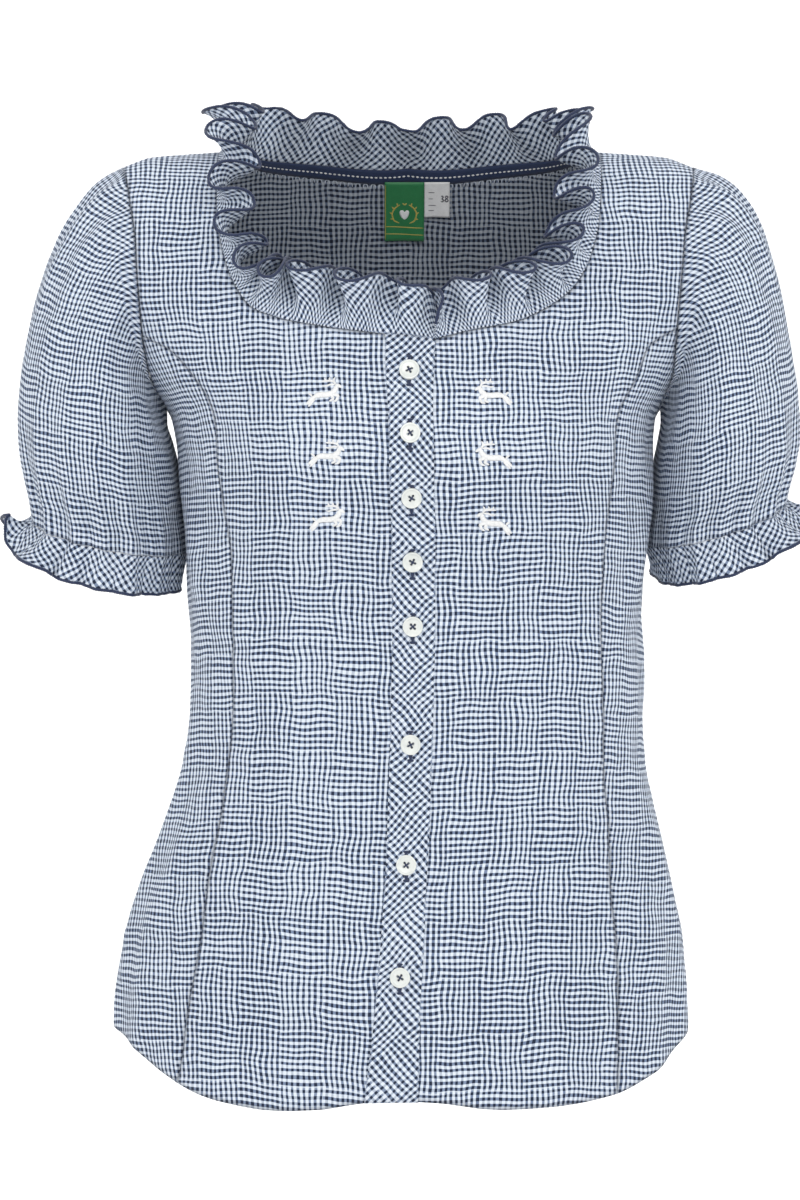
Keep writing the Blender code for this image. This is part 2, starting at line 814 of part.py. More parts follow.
def neck_frill():
    points, normals = neckline_edge()
    base, out, away = along_edge(points, normals, NECK_FRILL_STEPS, False)
    if np.sum(away[len(away) // 2] * (0, 0, 1)) < 0:
        away = -away
    run = np.concatenate([[0], np.cumsum(np.linalg.norm(np.diff(base, axis=0), axis=1))])
    share = run / run[-1]
    for end, nearer in ((0, 1), (-1, -2)):
        base[end] += unit(base[nearer] - base[end]) * FRILL_END_GAP / 2
    from_end = np.clip(np.minimum(run, run[-1] - run) / FRILL_END_ROUND, 0, 1)
    taper = FRILL_END_WIDTH + (1 - FRILL_END_WIDTH) * np.sqrt(1 - (1 - from_end) ** 2)
    frill("neck_frill", base + away * LAID_ON, away, out, share, NECK_LOBES, taper=taper)


def armhole_edge(side):
    """The armhole from the shoulder tip down the front and up the back, as a ring."""
    line = seams(side)
    front = join(line["high_armhole"][::-1], line["low_armhole"][::-1])
    back = back_side(side)[1]
    front_points, front_normals = form_edge(front[:-1])
    back_points, back_normals = form_edge(back[:-1])
    return np.concatenate([front_points, back_points]), np.concatenate([front_normals, back_normals])


def oval(section, clock):
    """Points of one sleeve section at clock angles: 0 at its outer end, a quarter turn at the front."""
    outer = np.array([section["outer_x"], 0, section["outer_z"]])
    inner = np.array([section["inner_x"], 0, section["inner_z"]])
    middle = (outer + inner) / 2 - (0, section["forward"], 0)
    reach = (outer - inner) / 2
    up, ahead = swell(np.cos(clock)), swell(np.sin(clock))
    points = middle + reach * up[:, None] + np.array([0, -section["depth"], 0]) * ahead[:, None]
    points[:, 2] -= section["drop"] * ahead
    points[:, 1] += section["back"] * np.clip(-up, 0, 1) ** 2
    return points, middle


def clock_angles(points, section):
    """The clock angle of each armhole point on the first section's oval."""
    outer = np.array([section["outer_x"], 0, section["outer_z"]])
    inner = np.array([section["inner_x"], 0, section["inner_z"]])
    reach = (outer - inner) / 2
    from_middle = points - (outer + inner) / 2
    up = from_middle @ reach / (reach @ reach)
    ahead = -from_middle[:, 1] / section["depth"]
    return np.arctan2(swell(ahead, GIRTH_ROUND / 2), swell(up, GIRTH_ROUND / 2))


def sleeve(side):
    """A puff sleeve from the armhole to the cuff seam, and the frill below it."""
    data = side_data(side)
    columns = {**data["sleeve"], **SLEEVE_FORM}
    sections = [{key: columns[key][i] for key in columns} for i in range(len(SLEEVE_FORM["pleat"]))]
    points, normals = armhole_edge(side)
    edge, out, away = along_edge(points, normals, SLEEVE_STEPS, True)
    if np.sum(away[:, 0]) * side < 0:
        away = -away
    clock = clock_angles(edge, sections[0])
    share = np.arange(len(edge)) / len(edge)
    residue = edge - oval(sections[0], clock)[0]
    rings = [edge + away * SEAM / 2]
    round_ = 2 * math.pi * share
    top = PLEAT_REACH + (1 - PLEAT_REACH) * (1 + np.cos(clock - PLEAT_TOP)) / 2
    pleats = np.cos(HEAD_PLEATS * round_) * (1 + PLEAT_UNEVEN * np.sin(3 * clock + 1)) * top
    gathers = np.cos(CUFF_GATHERS * round_ + GATHER_START) * (1 + PLEAT_UNEVEN * np.sin(2 * clock))
    flatter = 1 - BESIDE_BODY * np.clip(-np.cos(clock), 0, 1) ** 4
    for i, section in enumerate(sections[1:], 1):
        ring, middle = oval(section, clock)
        ring = ring + residue * section["keep"]
        outward = unit(ring - middle)
        rise = (section["pleat"] * pleats + section["gather"] * gathers) * flatter
        rings.append(ring + outward * rise[:, None])
    grid = np.stack(rings)
    across = np.roll(grid, -1, 1) - np.roll(grid, 1, 1)
    down = np.gradient(grid, axis=0)
    facing = unit(np.cross(across, down))
    puff = grid[PUFF_ROW]
    turned = np.sign(np.sum(facing[PUFF_ROW] * (puff - puff.mean(0))))
    facing *= turned
    axis = cuff_axis(grid[-1])
    facing[0] = out
    facing[-1] = unit(np.cross(across[-1], axis) * turned)
    outer = grid.reshape(-1, 3)
    inner = (grid - facing * WALL).reshape(-1, 3)
    faces = grid_faces(len(grid), grid.shape[1], closed=True)
    if turned < 0:
        faces = faces[:, ::-1]
    wall(f"sleeve_{data['name']}", outer, inner, faces, "check")
    cuff_frill(data["name"], grid[-1], axis)


def cuff_axis(ring):
    """The way out of the cuff, square to its flat ring."""
    from_middle = ring - ring.mean(0)
    axis = np.linalg.svd(from_middle)[2][2]
    return axis * np.sign(-axis[2])


def cuff_frill(name, ring, axis):
    """The bias frill below the cuff's gathers, its seam along the sleeve's last section."""
    closed = np.concatenate([ring, ring[:1]])
    at = np.arange(CUFF_FRILL_STEPS) * len(ring) / CUFF_FRILL_STEPS
    low = at.astype(int)
    share = (at - low)[:, None]
    base = closed[low] * (1 - share) + closed[low + 1] * share
    tangents = unit(np.roll(base, -1, 0) - np.roll(base, 1, 0))
    out = unit(np.cross(tangents, axis))
    out *= np.sign(np.sum(out * (base - base.mean(0))))
    away = np.broadcast_to(axis, base.shape)
    turn_share = np.arange(len(base)) / len(base)
    frill(f"cuff_frill_{name}", base + away * SEAM, away, out, turn_share, CUFF_LOBES, ring=True)


def placket():
    """The bias strip over both fronts' edges, from their own points moved out."""
    places = np.stack([seams(-1)["edge"], middle_line(), seams(1)["edge"]], 1)
    points = torso(places[..., 0], places[..., 1])
    normals = torso_normal(places[..., 0], places[..., 1])
    last = np.linalg.norm(points[-1] - points[-2], axis=-1, keepdims=True)
    points[-1] += (points[-2] - points[-1]) * PLACKET_TOP_GAP / last
    low = (points + normals * LAID_ON).reshape(-1, 3)
    high = (points + normals * (LAID_ON + TRIM_WALL)).reshape(-1, 3)
    wall("placket", high, low, grid_faces(len(points), 3), "bias check")


def between(line, row):
    """A point of a line at a row number that needn't be whole."""
    rows = np.arange(len(line))
    return np.array([np.interp(row, rows, line[:, k]) for k in range(3)])


def buttons():
    """Turned buttons with a raised rim and a dished face, on the front strip."""
    back, face = 0, BUTTON_THICK
    profile = (
        (0, back),
        (BUTTON_RADIUS * BUTTON_BACK, back),
        (BUTTON_RADIUS, (back + face) / 2),
        (BUTTON_RADIUS - BUTTON_RIM / 2, face),
        (BUTTON_RADIUS - BUTTON_RIM, face - BUTTON_DISH),
        (0, face - BUTTON_DISH),
    )
    lines = (middle_line(), seams(-1)["edge"], seams(1)["edge"])
    middle, right, left = (torso(line[:, 0], line[:, 1]) for line in lines)
    rows = np.arange(len(middle))
    for i, height in enumerate(BUTTON_HEIGHTS, 1):
        row = np.interp(height, middle[:, 2], rows)
        low, point, high = (between(middle, row + step) for step in (-BUTTON_ROWS, 0, BUTTON_ROWS))
        near, far = between(right, row), between(left, row)
        facing = unit(np.cross(far - near, high - low))
        arms = np.array([low, high, near, far]) - point
        share = BUTTON_RADIUS / np.linalg.norm(arms, axis=1)
        lift = max(0, float(np.max(arms @ facing * np.minimum(share, 1))))
        build = bmesh.new()
        line = [build.verts.new((r, 0, z)) for r, z in profile]
        edges = [build.edges.new(pair) for pair in zip(line, line[1:])]
        bmesh.ops.spin(build, geom=line + edges, cent=(0, 0, 0), axis=(0, 0, 1),
                       angle=2 * math.pi, steps=BUTTON_STEPS, use_merge=True)
        bmesh.ops.remove_doubles(build, verts=build.verts, dist=1e-6)
        bmesh.ops.recalc_face_normals(build, faces=build.faces)
        mesh = bpy.data.meshes.new(f"button_{i}")
        build.to_mesh(mesh)
        build.free()
        piece = finished(f"button_{i}", mesh, "pearl", 0.3)
        turn = Vector(facing).to_track_quat("Z", "Y").to_matrix().to_4x4()
        seat = point + facing * (LAID_ON + TRIM_WALL + SEAM + lift)
        piece.matrix_world = Matrix.Translation(Vector(seat)) @ turn


def back_lining(u, v):
    """Points and normals of the back's inner face at a column and a row of its grid, whole or not."""
    grid = back_grid()
    points = torso(grid[..., 0], grid[..., 1])
    normals = torso_normal(grid[..., 0], grid[..., 1])
    points = points - normals * WALL
    i, j = (np.minimum(at.astype(int), size - 2) for at, size in ((v, len(grid)), (u, grid.shape[1])))
    a, b = (v - i)[..., None], (u - j)[..., None]
    found = []
    for values in (points, normals):
        near, far = values[i, j], values[i + 1, j + 1]
        lower = near + b * (values[i, j + 1] - near) + a * (far - values[i, j + 1])
        upper = near + a * (values[i + 1, j] - near) + b * (far - values[i + 1, j])
        found.append(np.where(b > a, lower, upper))
    return found[0], unit(found[1])


def inside_sheet(name, u, v, colour):
    """A thin sheet that lies on the back's inner face."""
    points, normals = back_lining(u, v)
    near = (points - normals * TAPE_LIFT).reshape(-1, 3)
    far = (points - normals * (TAPE_LIFT + TRIM_WALL)).reshape(-1, 3)
    wall(name, near, far, grid_faces(*u.shape), colour)


def neck_trims():
    """The tape over the back neck seam, and the two labels below it."""
    grid = back_grid()
    points = torso(grid[..., 0], grid[..., 1])
    top = len(grid) - 1
    drop = np.linalg.norm(points[top] - points[top - 1], axis=-1)
    last = BACK_SHOULDER_COLUMNS + BACK_NECK_COLUMNS
    u = np.tile(np.linspace(BACK_SHOULDER_COLUMNS, last, TAPE_STEPS * BACK_NECK_COLUMNS + 1), (2, 1))
    u[:, 0] += TAPE_END
    u[:, -1] -= TAPE_END
    edge = np.interp(u[0], np.arange(len(drop)), drop)
    v = np.stack([top - np.minimum(TAPE_WIDTH / edge, TAPE_ROW), top - LAID_ON / edge])
    inside_sheet("neck_tape", u, v, "navy")
    across = points[top, :, 0]
    for name, size, middle, colour in (
        ("neck_label", LABEL_SIZE, LABEL_MIDDLE, "green"),
        ("size_label", SIZE_LABEL_SIZE, SIZE_LABEL_MIDDLE, "white"),
    ):
        ends = np.interp([-(middle + size[0] / 2), -(middle - size[0] / 2)], -across, np.arange(len(across)))
        columns = np.linspace(ends[0], ends[1], 4)
        start = np.interp(columns, np.arange(len(drop)), drop)
        top_row = top - (TAPE_WIDTH + 2 * LAID_ON) / start
        rows = [top_row]
        for step in (0.34, 0.67, 1):
            rows.append(lower_row(points, columns, top_row, size[1] * step))
        inside_sheet(name, np.tile(columns, (4, 1)), np.stack(rows[::-1]), colour)


def lower_row(points, columns, top_row, length):
    """The rows reached by going a length down from the top row along each column."""
    rows = []
    for column, row in zip(columns, top_row):
        line = points[:, int(round(column))]
        run = np.concatenate([[0], np.cumsum(np.linalg.norm(np.diff(line, axis=0), axis=1))])
        here = np.interp(row, np.arange(len(line)), run)
        rows.append(np.interp(here - length, run, np.arange(len(line))))
    return np.array(rows)


def main():
    for old in list(bpy.data.objects):
        bpy.data.objects.remove(old, do_unlink=True)
    for side, name in ((-1, "right"), (1, "left")):
        panel(f"front_{name}", front_grids(side))
        panel(f"side_front_{name}", side_front_grids(side))
        sleeve(side)
    panel("back", [back_grid()])
    neck_frill()
    placket()
    buttons()
    neck_trims()


main()
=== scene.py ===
"""The finished look of a dirndl blouse: check cloth, frills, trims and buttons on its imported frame.

Metres, +Z up, the front faces -Y. Right and left are the wearer's own: the right side is at -X.
The panels lie on one torso form. A place on the form is a turn round it, 0 at the centre front
and a quarter turn at the left side seam, and a climb above the level where it rolls over the
shoulders.
"""

import functools
import json
import math

import bmesh
import bpy
import numpy as np
from bpy.props import FloatProperty, FloatVectorProperty, PointerProperty
from mathutils import Matrix, Vector

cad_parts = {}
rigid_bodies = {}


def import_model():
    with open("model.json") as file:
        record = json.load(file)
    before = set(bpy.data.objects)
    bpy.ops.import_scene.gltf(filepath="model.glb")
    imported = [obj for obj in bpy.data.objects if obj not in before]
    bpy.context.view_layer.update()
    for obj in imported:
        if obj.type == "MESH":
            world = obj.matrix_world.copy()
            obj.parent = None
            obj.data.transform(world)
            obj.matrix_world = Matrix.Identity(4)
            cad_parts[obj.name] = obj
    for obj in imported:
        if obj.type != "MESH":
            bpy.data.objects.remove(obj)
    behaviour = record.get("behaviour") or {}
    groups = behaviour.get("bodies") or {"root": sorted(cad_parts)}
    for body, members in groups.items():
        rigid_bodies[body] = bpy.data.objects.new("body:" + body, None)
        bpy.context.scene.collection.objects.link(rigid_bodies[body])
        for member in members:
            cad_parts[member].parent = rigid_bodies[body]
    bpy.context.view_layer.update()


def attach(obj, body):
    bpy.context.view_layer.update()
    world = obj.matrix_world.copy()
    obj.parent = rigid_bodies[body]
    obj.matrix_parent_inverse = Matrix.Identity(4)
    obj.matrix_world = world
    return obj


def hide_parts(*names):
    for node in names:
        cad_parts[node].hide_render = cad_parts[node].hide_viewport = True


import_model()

bl_info = {
    "name": "Dirndl blouse",
    "version": (1, 0, 0),
    "blender": (4, 5, 0),
    "location": "3D View > Sidebar > Blouse",
    "description": "Sews the finished cloth, frills, trims and buttons of a dirndl blouse onto its frame",
    "category": "Object",
}

MM = 0.001
QUARTER = math.pi / 2

# Cloth
CLOTH = 0.7 * MM
FRILL_CLOTH = 0.6 * MM
SEAM = 0.14 * MM
SEAM_SINK = 0.45 * MM
SEAM_WIDTH = 1.2 * MM
LAID_ON = 0.5 * MM
WELD = 0.0001 * MM
CREASE_DEPTH = 0.9 * MM
CREASE_SIZE = np.array((0.034, 0.034, 0.046))
CRINKLE_DEPTH = 0.3 * MM
CRINKLE_SIZE = np.array((0.013, 0.013, 0.009))

# Torso form
GIRTH_ROUND = 2.25
ROLL_START = -110 * MM
OVER_SHOULDER = 150 * MM
MEAN_RADIUS = 140 * MM
BUST_OUT = 75 * MM
BUST_HEIGHT = -192 * MM
BUST_RISE = 15 * MM
BUST_WIDTH = 52 * MM
BUST_TALL = 62 * MM
BUST_BRIDGE = 24 * MM
GIRTH_CUT = QUARTER + 0.3
FOLD_HALF = 0.42

# Rows and columns of the panels
HEM_TO_NECK_ROWS = 100
NECK_TO_ARMHOLE_ROWS = 24
ARMHOLE_ROWS = 30
FRONT_COLUMNS = 44
SIDE_COLUMNS = 26
STRIP_COLUMNS = 4
BACK_ARMHOLE_ROWS = 54
BACK_NECK_COLUMNS = 84
BACK_SHOULDER_COLUMNS = 20

# Frills and sleeves
NECK_FRILL_COUNT = 620
NECK_FRILL_LEVELS = 22
CUFF_FRILL_COUNT = 260
CUFF_FRILL_LEVELS = 16
ROUNDED_LOBES = 0.1
PINCHED_VALLEYS = 0.05
DEEP_SWING = math.radians(48)
FRILL_CURL = 0.45
FRILL_END_ROUND = 16 * MM
LOBE_CHANCE = 0.16
LOBE_LUMP = 0.024
GATHER_DEPTH = 0.45 * MM
GATHERS = 190
FRILL_CRINKLE = 0.5 * MM
FRILL_LUMP = np.array((0.011, 0.011, 0.011))
OVERLOCK_RADIUS = 1.05 * MM
OVERLOCK_STEP = 0.9 * MM
FACETS = 7
THREAD_LUMPS = 0.16
THREAD_TWIST = 0.12
SLEEVE_COUNT = 230
SLEEVE_ROWS = 92
HEAD_PLEATS = 15
CUFF_GATHERS = 15
PLACKET_THICK = 0.9 * MM
SLEEVE_CREASE = 2.6 * MM
SLEEVE_FOLDS = 3.4
FOLDS_DOWN = 1.6
CREASE_START = 8
BESIDE_BODY = 0.8
PLEAT_REACH = 0.25
PLEAT_TOP = 0.5
PLEAT_UNEVEN = 0.3
GATHER_START = 1.2
FINE_GATHERS = 2.7
FINE_SHARE = 0.35

# Woven check
SMALL_SWAY = 0.12
STRIPE_HALF = 0.215
STRIPE_SPREAD = 0.07
STRIPE_SOFT = 0.1
STRIPE_PALER = 0.14
MOTTLE = 0.16
SLUB = 0.12
LIGHT_RAMP = (0.1, 0.64)
DARK_RAMP = (0.58, 0.88)

# Stage
BLOUSE_MIDDLE = (0, 0, -0.3)
BACKDROP_TARGET = (0, 4.2, 0)

# Trims
SATIN_STEP = 0.7 * MM
SATIN_TIP = 6
BUTTON_BEVEL = 0.22 * MM
BUTTON_TURN = math.radians(20)
TAPE_END = 2
TAPE_OVER = 1.2 * MM
TAPE_THICK = 0.5 * MM
LABEL_THICK = 0.35 * MM
LABEL_OFF = 1.1 * MM
LABEL_CLEAR = 0.9 * MM


def table(names, *rows, unit=MM):
    """Named columns of a table. Its numbers are millimetres unless another unit is given."""
    values = np.array(rows, float) * unit
    return {name: values[:, i] for i, name in enumerate(names.split())}


# Sides and depths of the torso form
TORSO = table(
    "height right left front back",
    (-650, -194, 186, 116, 127),
    (-608, -192, 184, 116, 126),
    (-552, -189.5, 182, 114, 123),
    (-507, -183, 178.5, 110, 117),
    (-476, -174.5, 172, 106, 112),
    (-434, -158.5, 162.5, 101, 104),
    (-393, -146, 154, 98, 98),
    (-361, -142, 152, 97, 95),
    (-320, -140.5, 150.5, 98, 94),
    (-280, -143, 153, 102, 97),
    (-240, -144.5, 156, 109, 101),
    (-193, -149, 158, 115, 105),
    (-171, -153.5, 160.5, 114, 106),
    (-140, -175, 179, 110, 106),
    (-100, -194, 197, 101, 102),
    (-50, -204, 207, 93, 93),
    (0, -212, 215, 88, 84),
)

# The line over the shoulders, from the middle out: it climbs beside the neck
RIDGE = table(
    "out height",
    (0, 50),
    (60, 36),
    (100, 13),
    (122, 1.5),
    (142, 0),
    (166, -2),
    (184, -8),
    (215, -16),
)

# Hem heights in millimetres by the turn in degrees
HEM = table(
    "turn height",
    (-90, -558),
    (-66, -572),
    (-54, -586),
    (-43, -597),
    (-33, -604),
    (-22, -607.5),
    (-13, -606),
    (-5, -601.5),
    (2, -601),
    (17, -606.5),
    (29, -605),
    (44, -600),
    (55, -590),
    (66, -577),
    (90, -557),
    (110, -575),
    (130, -592),
    (150, -600),
    (180, -603),
    (210, -600),
    (230, -592),
    (250, -575),
    (270, -558),
    unit=1,
)

# Largest folds: each runs from its top to its foot, girths counted from the centre front
FOLDS = table(
    "top_girth top_height low_girth low_height width depth",
    (-205, -190, -160, -300, 14, 3),
    (-185, -330, -196, -640, 13, 3.5),
    (-152, -420, -158, -640, 12, 2.5),
    (-95, -500, -100, -650, 16, 2),
    (60, -480, 66, -650, 17, 2),
    (205, -180, 168, -290, 14, 3),
    (178, -400, 186, -640, 14, 3.5),
    (150, -460, 140, -650, 13, 2.5),
    (226, -300, 205, -360, 10, 2.5),
    (262, -420, 268, -640, 18, 4),
    (330, -440, 322, -650, 20, 4.5),
    (395, -440, 392, -650, 20, 4),
    (470, -440, 476, -650, 20, 4.5),
    (540, -430, 534, -640, 18, 4),
    (300, -180, 380, -230, 16, -2.5),
    (585, -180, 500, -230, 16, -2.5),
)

# Seams in the front view, from the foot up
PRINCESS_RIGHT = table(
    "x z",
    (-146, -592),
    (-142, -572),
    (-132, -507),
    (-121, -434),
    (-114, -380),
    (-111.5, -322),
    (-113, -264),
    (-121, -205),
    (-133, -151),
    (-149, -131),
    (-169.5, -119),
)
PRINCESS_LEFT = table(
    "x z",
    (133, -601),
    (130, -484),
    (127, -419),
    (124.5, -354),
    (123.5, -289),
    (125.5, -250),
    (131, -198),
    (140, -155),
    (151, -129),
    (170.5, -114),
)
ARMHOLE_RIGHT = table(
    "height front back",
    (-30, -179, -181),
    (-50, -175, -178.5),
    (-94, -171.5, -176),
    (-134, -168, -171),
)
ARMHOLE_LEFT = table(
    "height front back",
    (-30, 182, 184),
    (-50, 178, 181.5),
    (-94, 173.5, 178.5),
    (-134, 170.5, 174),
)
SHOULDER_TIP = 185 * MM
UNDERARM = -171 * MM
NECKLINE_RIGHT = table(
    "x z",
    (-14.5, -119.5),
    (-36, -117),
    (-57, -114),
    (-80, -109.5),
    (-99, -102),
    (-110.5, -86),
    (-117, -67),
    (-121, -44),
    (-121.8, -19),
    (-121.5, 2),
)
NECKLINE_LEFT = table(
    "x z",
    (17, -122.5),
    (39.5, -117),
    (65, -112),
    (88, -102),
    (105, -88),
    (115, -70),
    (121, -46),
    (123.3, -20),
    (122.5, 2),
)
BACK_NECK = table(
    "x z",
    (122, 2),
    (113, 0.5),
    (95, -1.5),
    (60, -3.5),
    (0, -5),
    (-60, -3.5),
    (-95, -1.5),
    (-113, 0.5),
    (-121.5, 2),
)
NECK_CORNER_RIGHT = -99 * MM
NECK_CORNER_LEFT = -95 * MM
NECK_LEVEL = -205 * MM

# Edges of the front strip, and the line where the two fronts meet below it
PLACKET = table(
    "height right middle left",
    (-604, -27.5, -10.5, 6.2),
    (-538, -20.5, -6, 7.8),
    (-476, -15.5, -2.3, 10.8),
    (-410, -12.5, 0.8, 14),
    (-360, -11, 2.2, 15.8),
    (-300, -10, 3.2, 17),
    (-220, -11.3, 2.2, 16.4),
    (-121, -14.5, 1, 17),
)
BUTTON_HEIGHTS = np.array((-143, -182, -221.5, -261.5, -302.5, -377.5, -453, -523)) * MM

# Sleeve sections from the armhole to the cuff: the outer and the inner end, and the half depth
SLEEVE_COLUMNS = "outer_x outer_z inner_x inner_z depth forward drop"
SLEEVE_RIGHT = table(
    SLEEVE_COLUMNS,
    (-185, -8, -153.5, -171, 57, 0, 0),
    (-201, -19, -156, -166.5, 59, 0, 0),
    (-221, -45, -156, -175, 63, 1, 0),
    (-235, -76, -152.5, -188, 66, 2, 1),
    (-245, -110, -149.7, -200, 67, 3, 3),
    (-250, -140, -147.6, -212, 67, 3, 5),
    (-251.5, -165, -146.1, -222, 65, 3, 7),
    (-250, -188, -145, -232, 62, 3, 8),
    (-246.5, -208, -144.3, -240.5, 57, 3, 9),
    (-243.5, -223, -143.9, -248, 52.5, 3, 10),
    (-243, -235, -143.6, -255, 51, 3, 11),
)
SLEEVE_LEFT = table(
    SLEEVE_COLUMNS,
    (185, -8, 160.5, -171, 57, 0, 0),
    (207, -17.5, 163.5, -166, 59, 0, 0),
    (224.5, -38, 164, -174, 63, 1, 0),
    (236, -68, 162.3, -186.5, 66, 2, 1),
    (244, -101, 160.2, -198.5, 67, 3, 3),
    (248.5, -130, 158.5, -210, 67, 3, 5),
    (251.5, -156, 157.3, -220, 65, 3, 7),
    (252, -179, 156.4, -229.5, 62, 3, 8),
    (249, -198, 155.8, -237.5, 57, 3, 9),
    (245.5, -212.5, 155.3, -244, 52.5, 3, 9),
    (244, -224, 154.9, -251, 51, 3, 10),
)
# Pleats, gathers, how much of the armhole's outline lasts in thousandths, and the inner side's way back
SLEEVE_FORM = table(
    "pleat gather keep back",
    (0, 0, 1000, 0),
    (1.8, 0, 850, 0),
    (1.7, 0, 600, 3),
    (1.1, 0, 350, 8),
    (0.6, 0.1, 150, 13),
    (0.3, 0.3, 50, 18),
    (0.1, 0.7, 0, 22),
    (0, 1.3, 0, 25),
    (0, 1.9, 0, 27),
    (0, 2.0, 0, 28),
    (0, 1.7, 0, 28),
)

# Small creases: each runs from its top to its foot, girths counted from the centre front
CREASES = table(
    "top_girth top_height low_girth low_height width depth",
    (-120, -300, -95, -330, 7, 1.6),
    (118, -310, 96, -345, 7, 1.5),
)

# Waves of the neck frill from the front edge round by the right shoulder, by their crests.
# Width in millimetres, lean and swing in degrees, skew as a share of the width
LOBE_COLUMNS = "at width lean swing skew"
NECK_LOBES = table(
    LOBE_COLUMNS,
    (0.02, 34, 22, 34, 0.1),
    (0.062, 38, 30, 50, 0.25),
    (0.103, 38, 28, 52, 0.2),
    (0.142, 37, 34, 48, -0.15),
    (0.177, 32, 50, 48, -0.1),
    (0.208, 30, 66, 46, 0.05),
    (0.25, 31, 76, 50, -0.1),
    (0.29, 31, 84, 52, 0.05),
    (0.335, 34, 100, 52, 0.15),
    (0.39, 36, 34, 34, 0.1),
    (0.445, 36, -2, 20, 0.05),
    (0.5, 35, -6, 18, -0.05),
    (0.552, 37, -6, 19, 0.05),
    (0.605, 36, 0, 22, -0.05),
    (0.655, 34, 22, 28, 0.1),
    (0.697, 31, 56, 42, 0.05),
    (0.74, 31, 64, 44, -0.1),
    (0.782, 31, 60, 48, 0.1),
    (0.82, 31, 54, 46, -0.1),
    (0.857, 32, 46, 48, -0.15),
    (0.893, 35, 38, 50, -0.2),
    (0.93, 36, 30, 50, -0.25),
    (0.965, 34, 26, 46, -0.15),
    unit=1,
)
CUFF_LOBES = table(
    LOBE_COLUMNS,
    (0.015, 21, 88, 36, 0.1),
    (0.13, 24, 32, 22, 0.1),
    (0.3, 25, 14, 12, 0),
    (0.46, 25, 1, 3, 0),
    (0.6, 25, 4, 8, -0.1),
    (0.74, 25, 26, 22, 0.2),
    (0.88, 24, 40, 28, -0.2),
    unit=1,
)

STROKE = "x y width"
SATIN_SECTION = table("across up", (-1, 0), (-0.6, 0.8), (0, 1), (0.6, 0.8), (1, 0), (0, -0.5), unit=1)
DEER_AT = table("x z", (-52, -157.5), (-50.5, -196), (-50, -235.5), (52.5, -158), (52.5, -197), (53, -238))
DEER_TURN = (3, -2, 2, -4, -1, 3)
DEER = (
    table(STROKE, (-7, -1.4, 2.6), (-3, -0.2, 3.4), (1, -0.3, 3.4), (4.6, 0.8, 3.6)),
    table(STROKE, (-6, -1.2, 3.4), (-8.4, -3, 2.4), (-11, -5.4, 1.5)),
    table(STROKE, (-6.4, -1.8, 2.4), (-8, -4.4, 1.7), (-10.2, -6.6, 1.3)),
    table(STROKE, (4, 0.4, 3.6), (6.4, 2.8, 2.9), (6.8, 5, 2.5)),
    table(STROKE, (6.2, 4.9, 2.6), (8, 4.5, 2.1), (9.8, 3.4, 1.3)),
    table(STROKE, (6.6, 5.2, 1.5), (5.4, 7, 1.4), (2.4, 7.6, 1.3), (-1.4, 7.6, 1)),
    table(STROKE, (5.6, 6.8, 1.2), (5.6, 8.2, 1.1), (6.4, 9.4, 0.9)),
    table(STROKE, (3.6, 7.5, 1.2), (3, 8.6, 1.1), (3.2, 9.6, 0.9)),
    table(STROKE, (1.4, 7.6, 1.1), (0.4, 8.6, 1), (0.2, 9.6, 0.8)),
    table(STROKE, (6, 5.4, 1.3), (3.6, 5.4, 1.2), (0.6, 4.6, 1), (-1.4, 5, 0.8)),
    table(STROKE, (4.2, -0.2, 2.6), (7.4, -1.4, 1.9), (6.4, -3.8, 1.5), (4.4, -4.6, 1.2)),
    table(STROKE, (3.4, -0.6, 2.4), (4.6, -2.8, 1.6), (2.2, -4.2, 1.3)),
    table(STROKE, (-7.6, -0.8, 1.5), (-8.8, 0.6, 1.2), (-9.8, 0.8, 0.9)),
)
BUTTONHOLE = (
    table(STROKE, (0, 8, 2.8), (0, -9.5, 2.8)),
    table(STROKE, (-2, -10, 2), (2, -10, 2)),
    table(STROKE, (-1.8, 8, 1.6), (1.8, 8, 1.6)),
)
LOOP = table(STROKE, (0, 3.4, 0.6), (0.2, 1.2, 0.8), (1.5, 0.3, 0.9), (2.8, 1.2, 0.8), (3, 3.2, 0.6))
LOOP_PITCH = 5.2 * MM

# Labels: lower left and upper right corners, and their marks
NECK_LABEL = np.array(((-15.6, -50.5), (11, -12.5))) * MM
SIZE_LABEL = np.array(((11.2, -35), (28, -12.5))) * MM
GOLD_LINES = (
    table(STROKE, (-13, -9.6, 0.6), (0, -10, 0.6), (13, -10.4, 0.6)),
    table(STROKE, (-13, -14.2, 0.6), (0, -14.6, 0.6), (13, -15, 0.6)),
    table(STROKE, (-12.7, 17, 0.5), (-12.7, 0, 0.5), (-12.7, -18, 0.5)),
)
GOLD_SPRIGS = (
    table(STROKE, (-3.4, -7.4, 0.8), (-7, -5.6, 1), (-8.2, -1.4, 1), (-6.2, 2.4, 0.9), (-3, 4.6, 0.7)),
    table(STROKE, (-7.4, -4.6, 1.2), (-9.4, -4.8, 0.6)),
    table(STROKE, (-8, -1.6, 1.2), (-9.8, -0.4, 0.6)),
    table(STROKE, (-7, 1.6, 1.2), (-8.4, 3.2, 0.6)),
    table(STROKE, (-4.6, 3.8, 1.2), (-5.2, 5.6, 0.6)),
    table(STROKE, (3.4, -7.4, 0.8), (7, -5.6, 1), (8.2, -1.4, 1), (6.2, 2.4, 0.9), (3, 4.6, 0.7)),
    table(STROKE, (7.4, -4.6, 1.2), (9.4, -4.8, 0.6)),
    table(STROKE, (8, -1.6, 1.2), (9.8, -0.4, 0.6)),
    table(STROKE, (7, 1.6, 1.2), (8.4, 3.2, 0.6)),
    table(STROKE, (4.6, 3.8, 1.2), (5.2, 5.6, 0.6)),
    table(STROKE, (-1.4, 5.6, 0.8), (0, 4.6, 1), (1.4, 5.6, 0.8)),
)
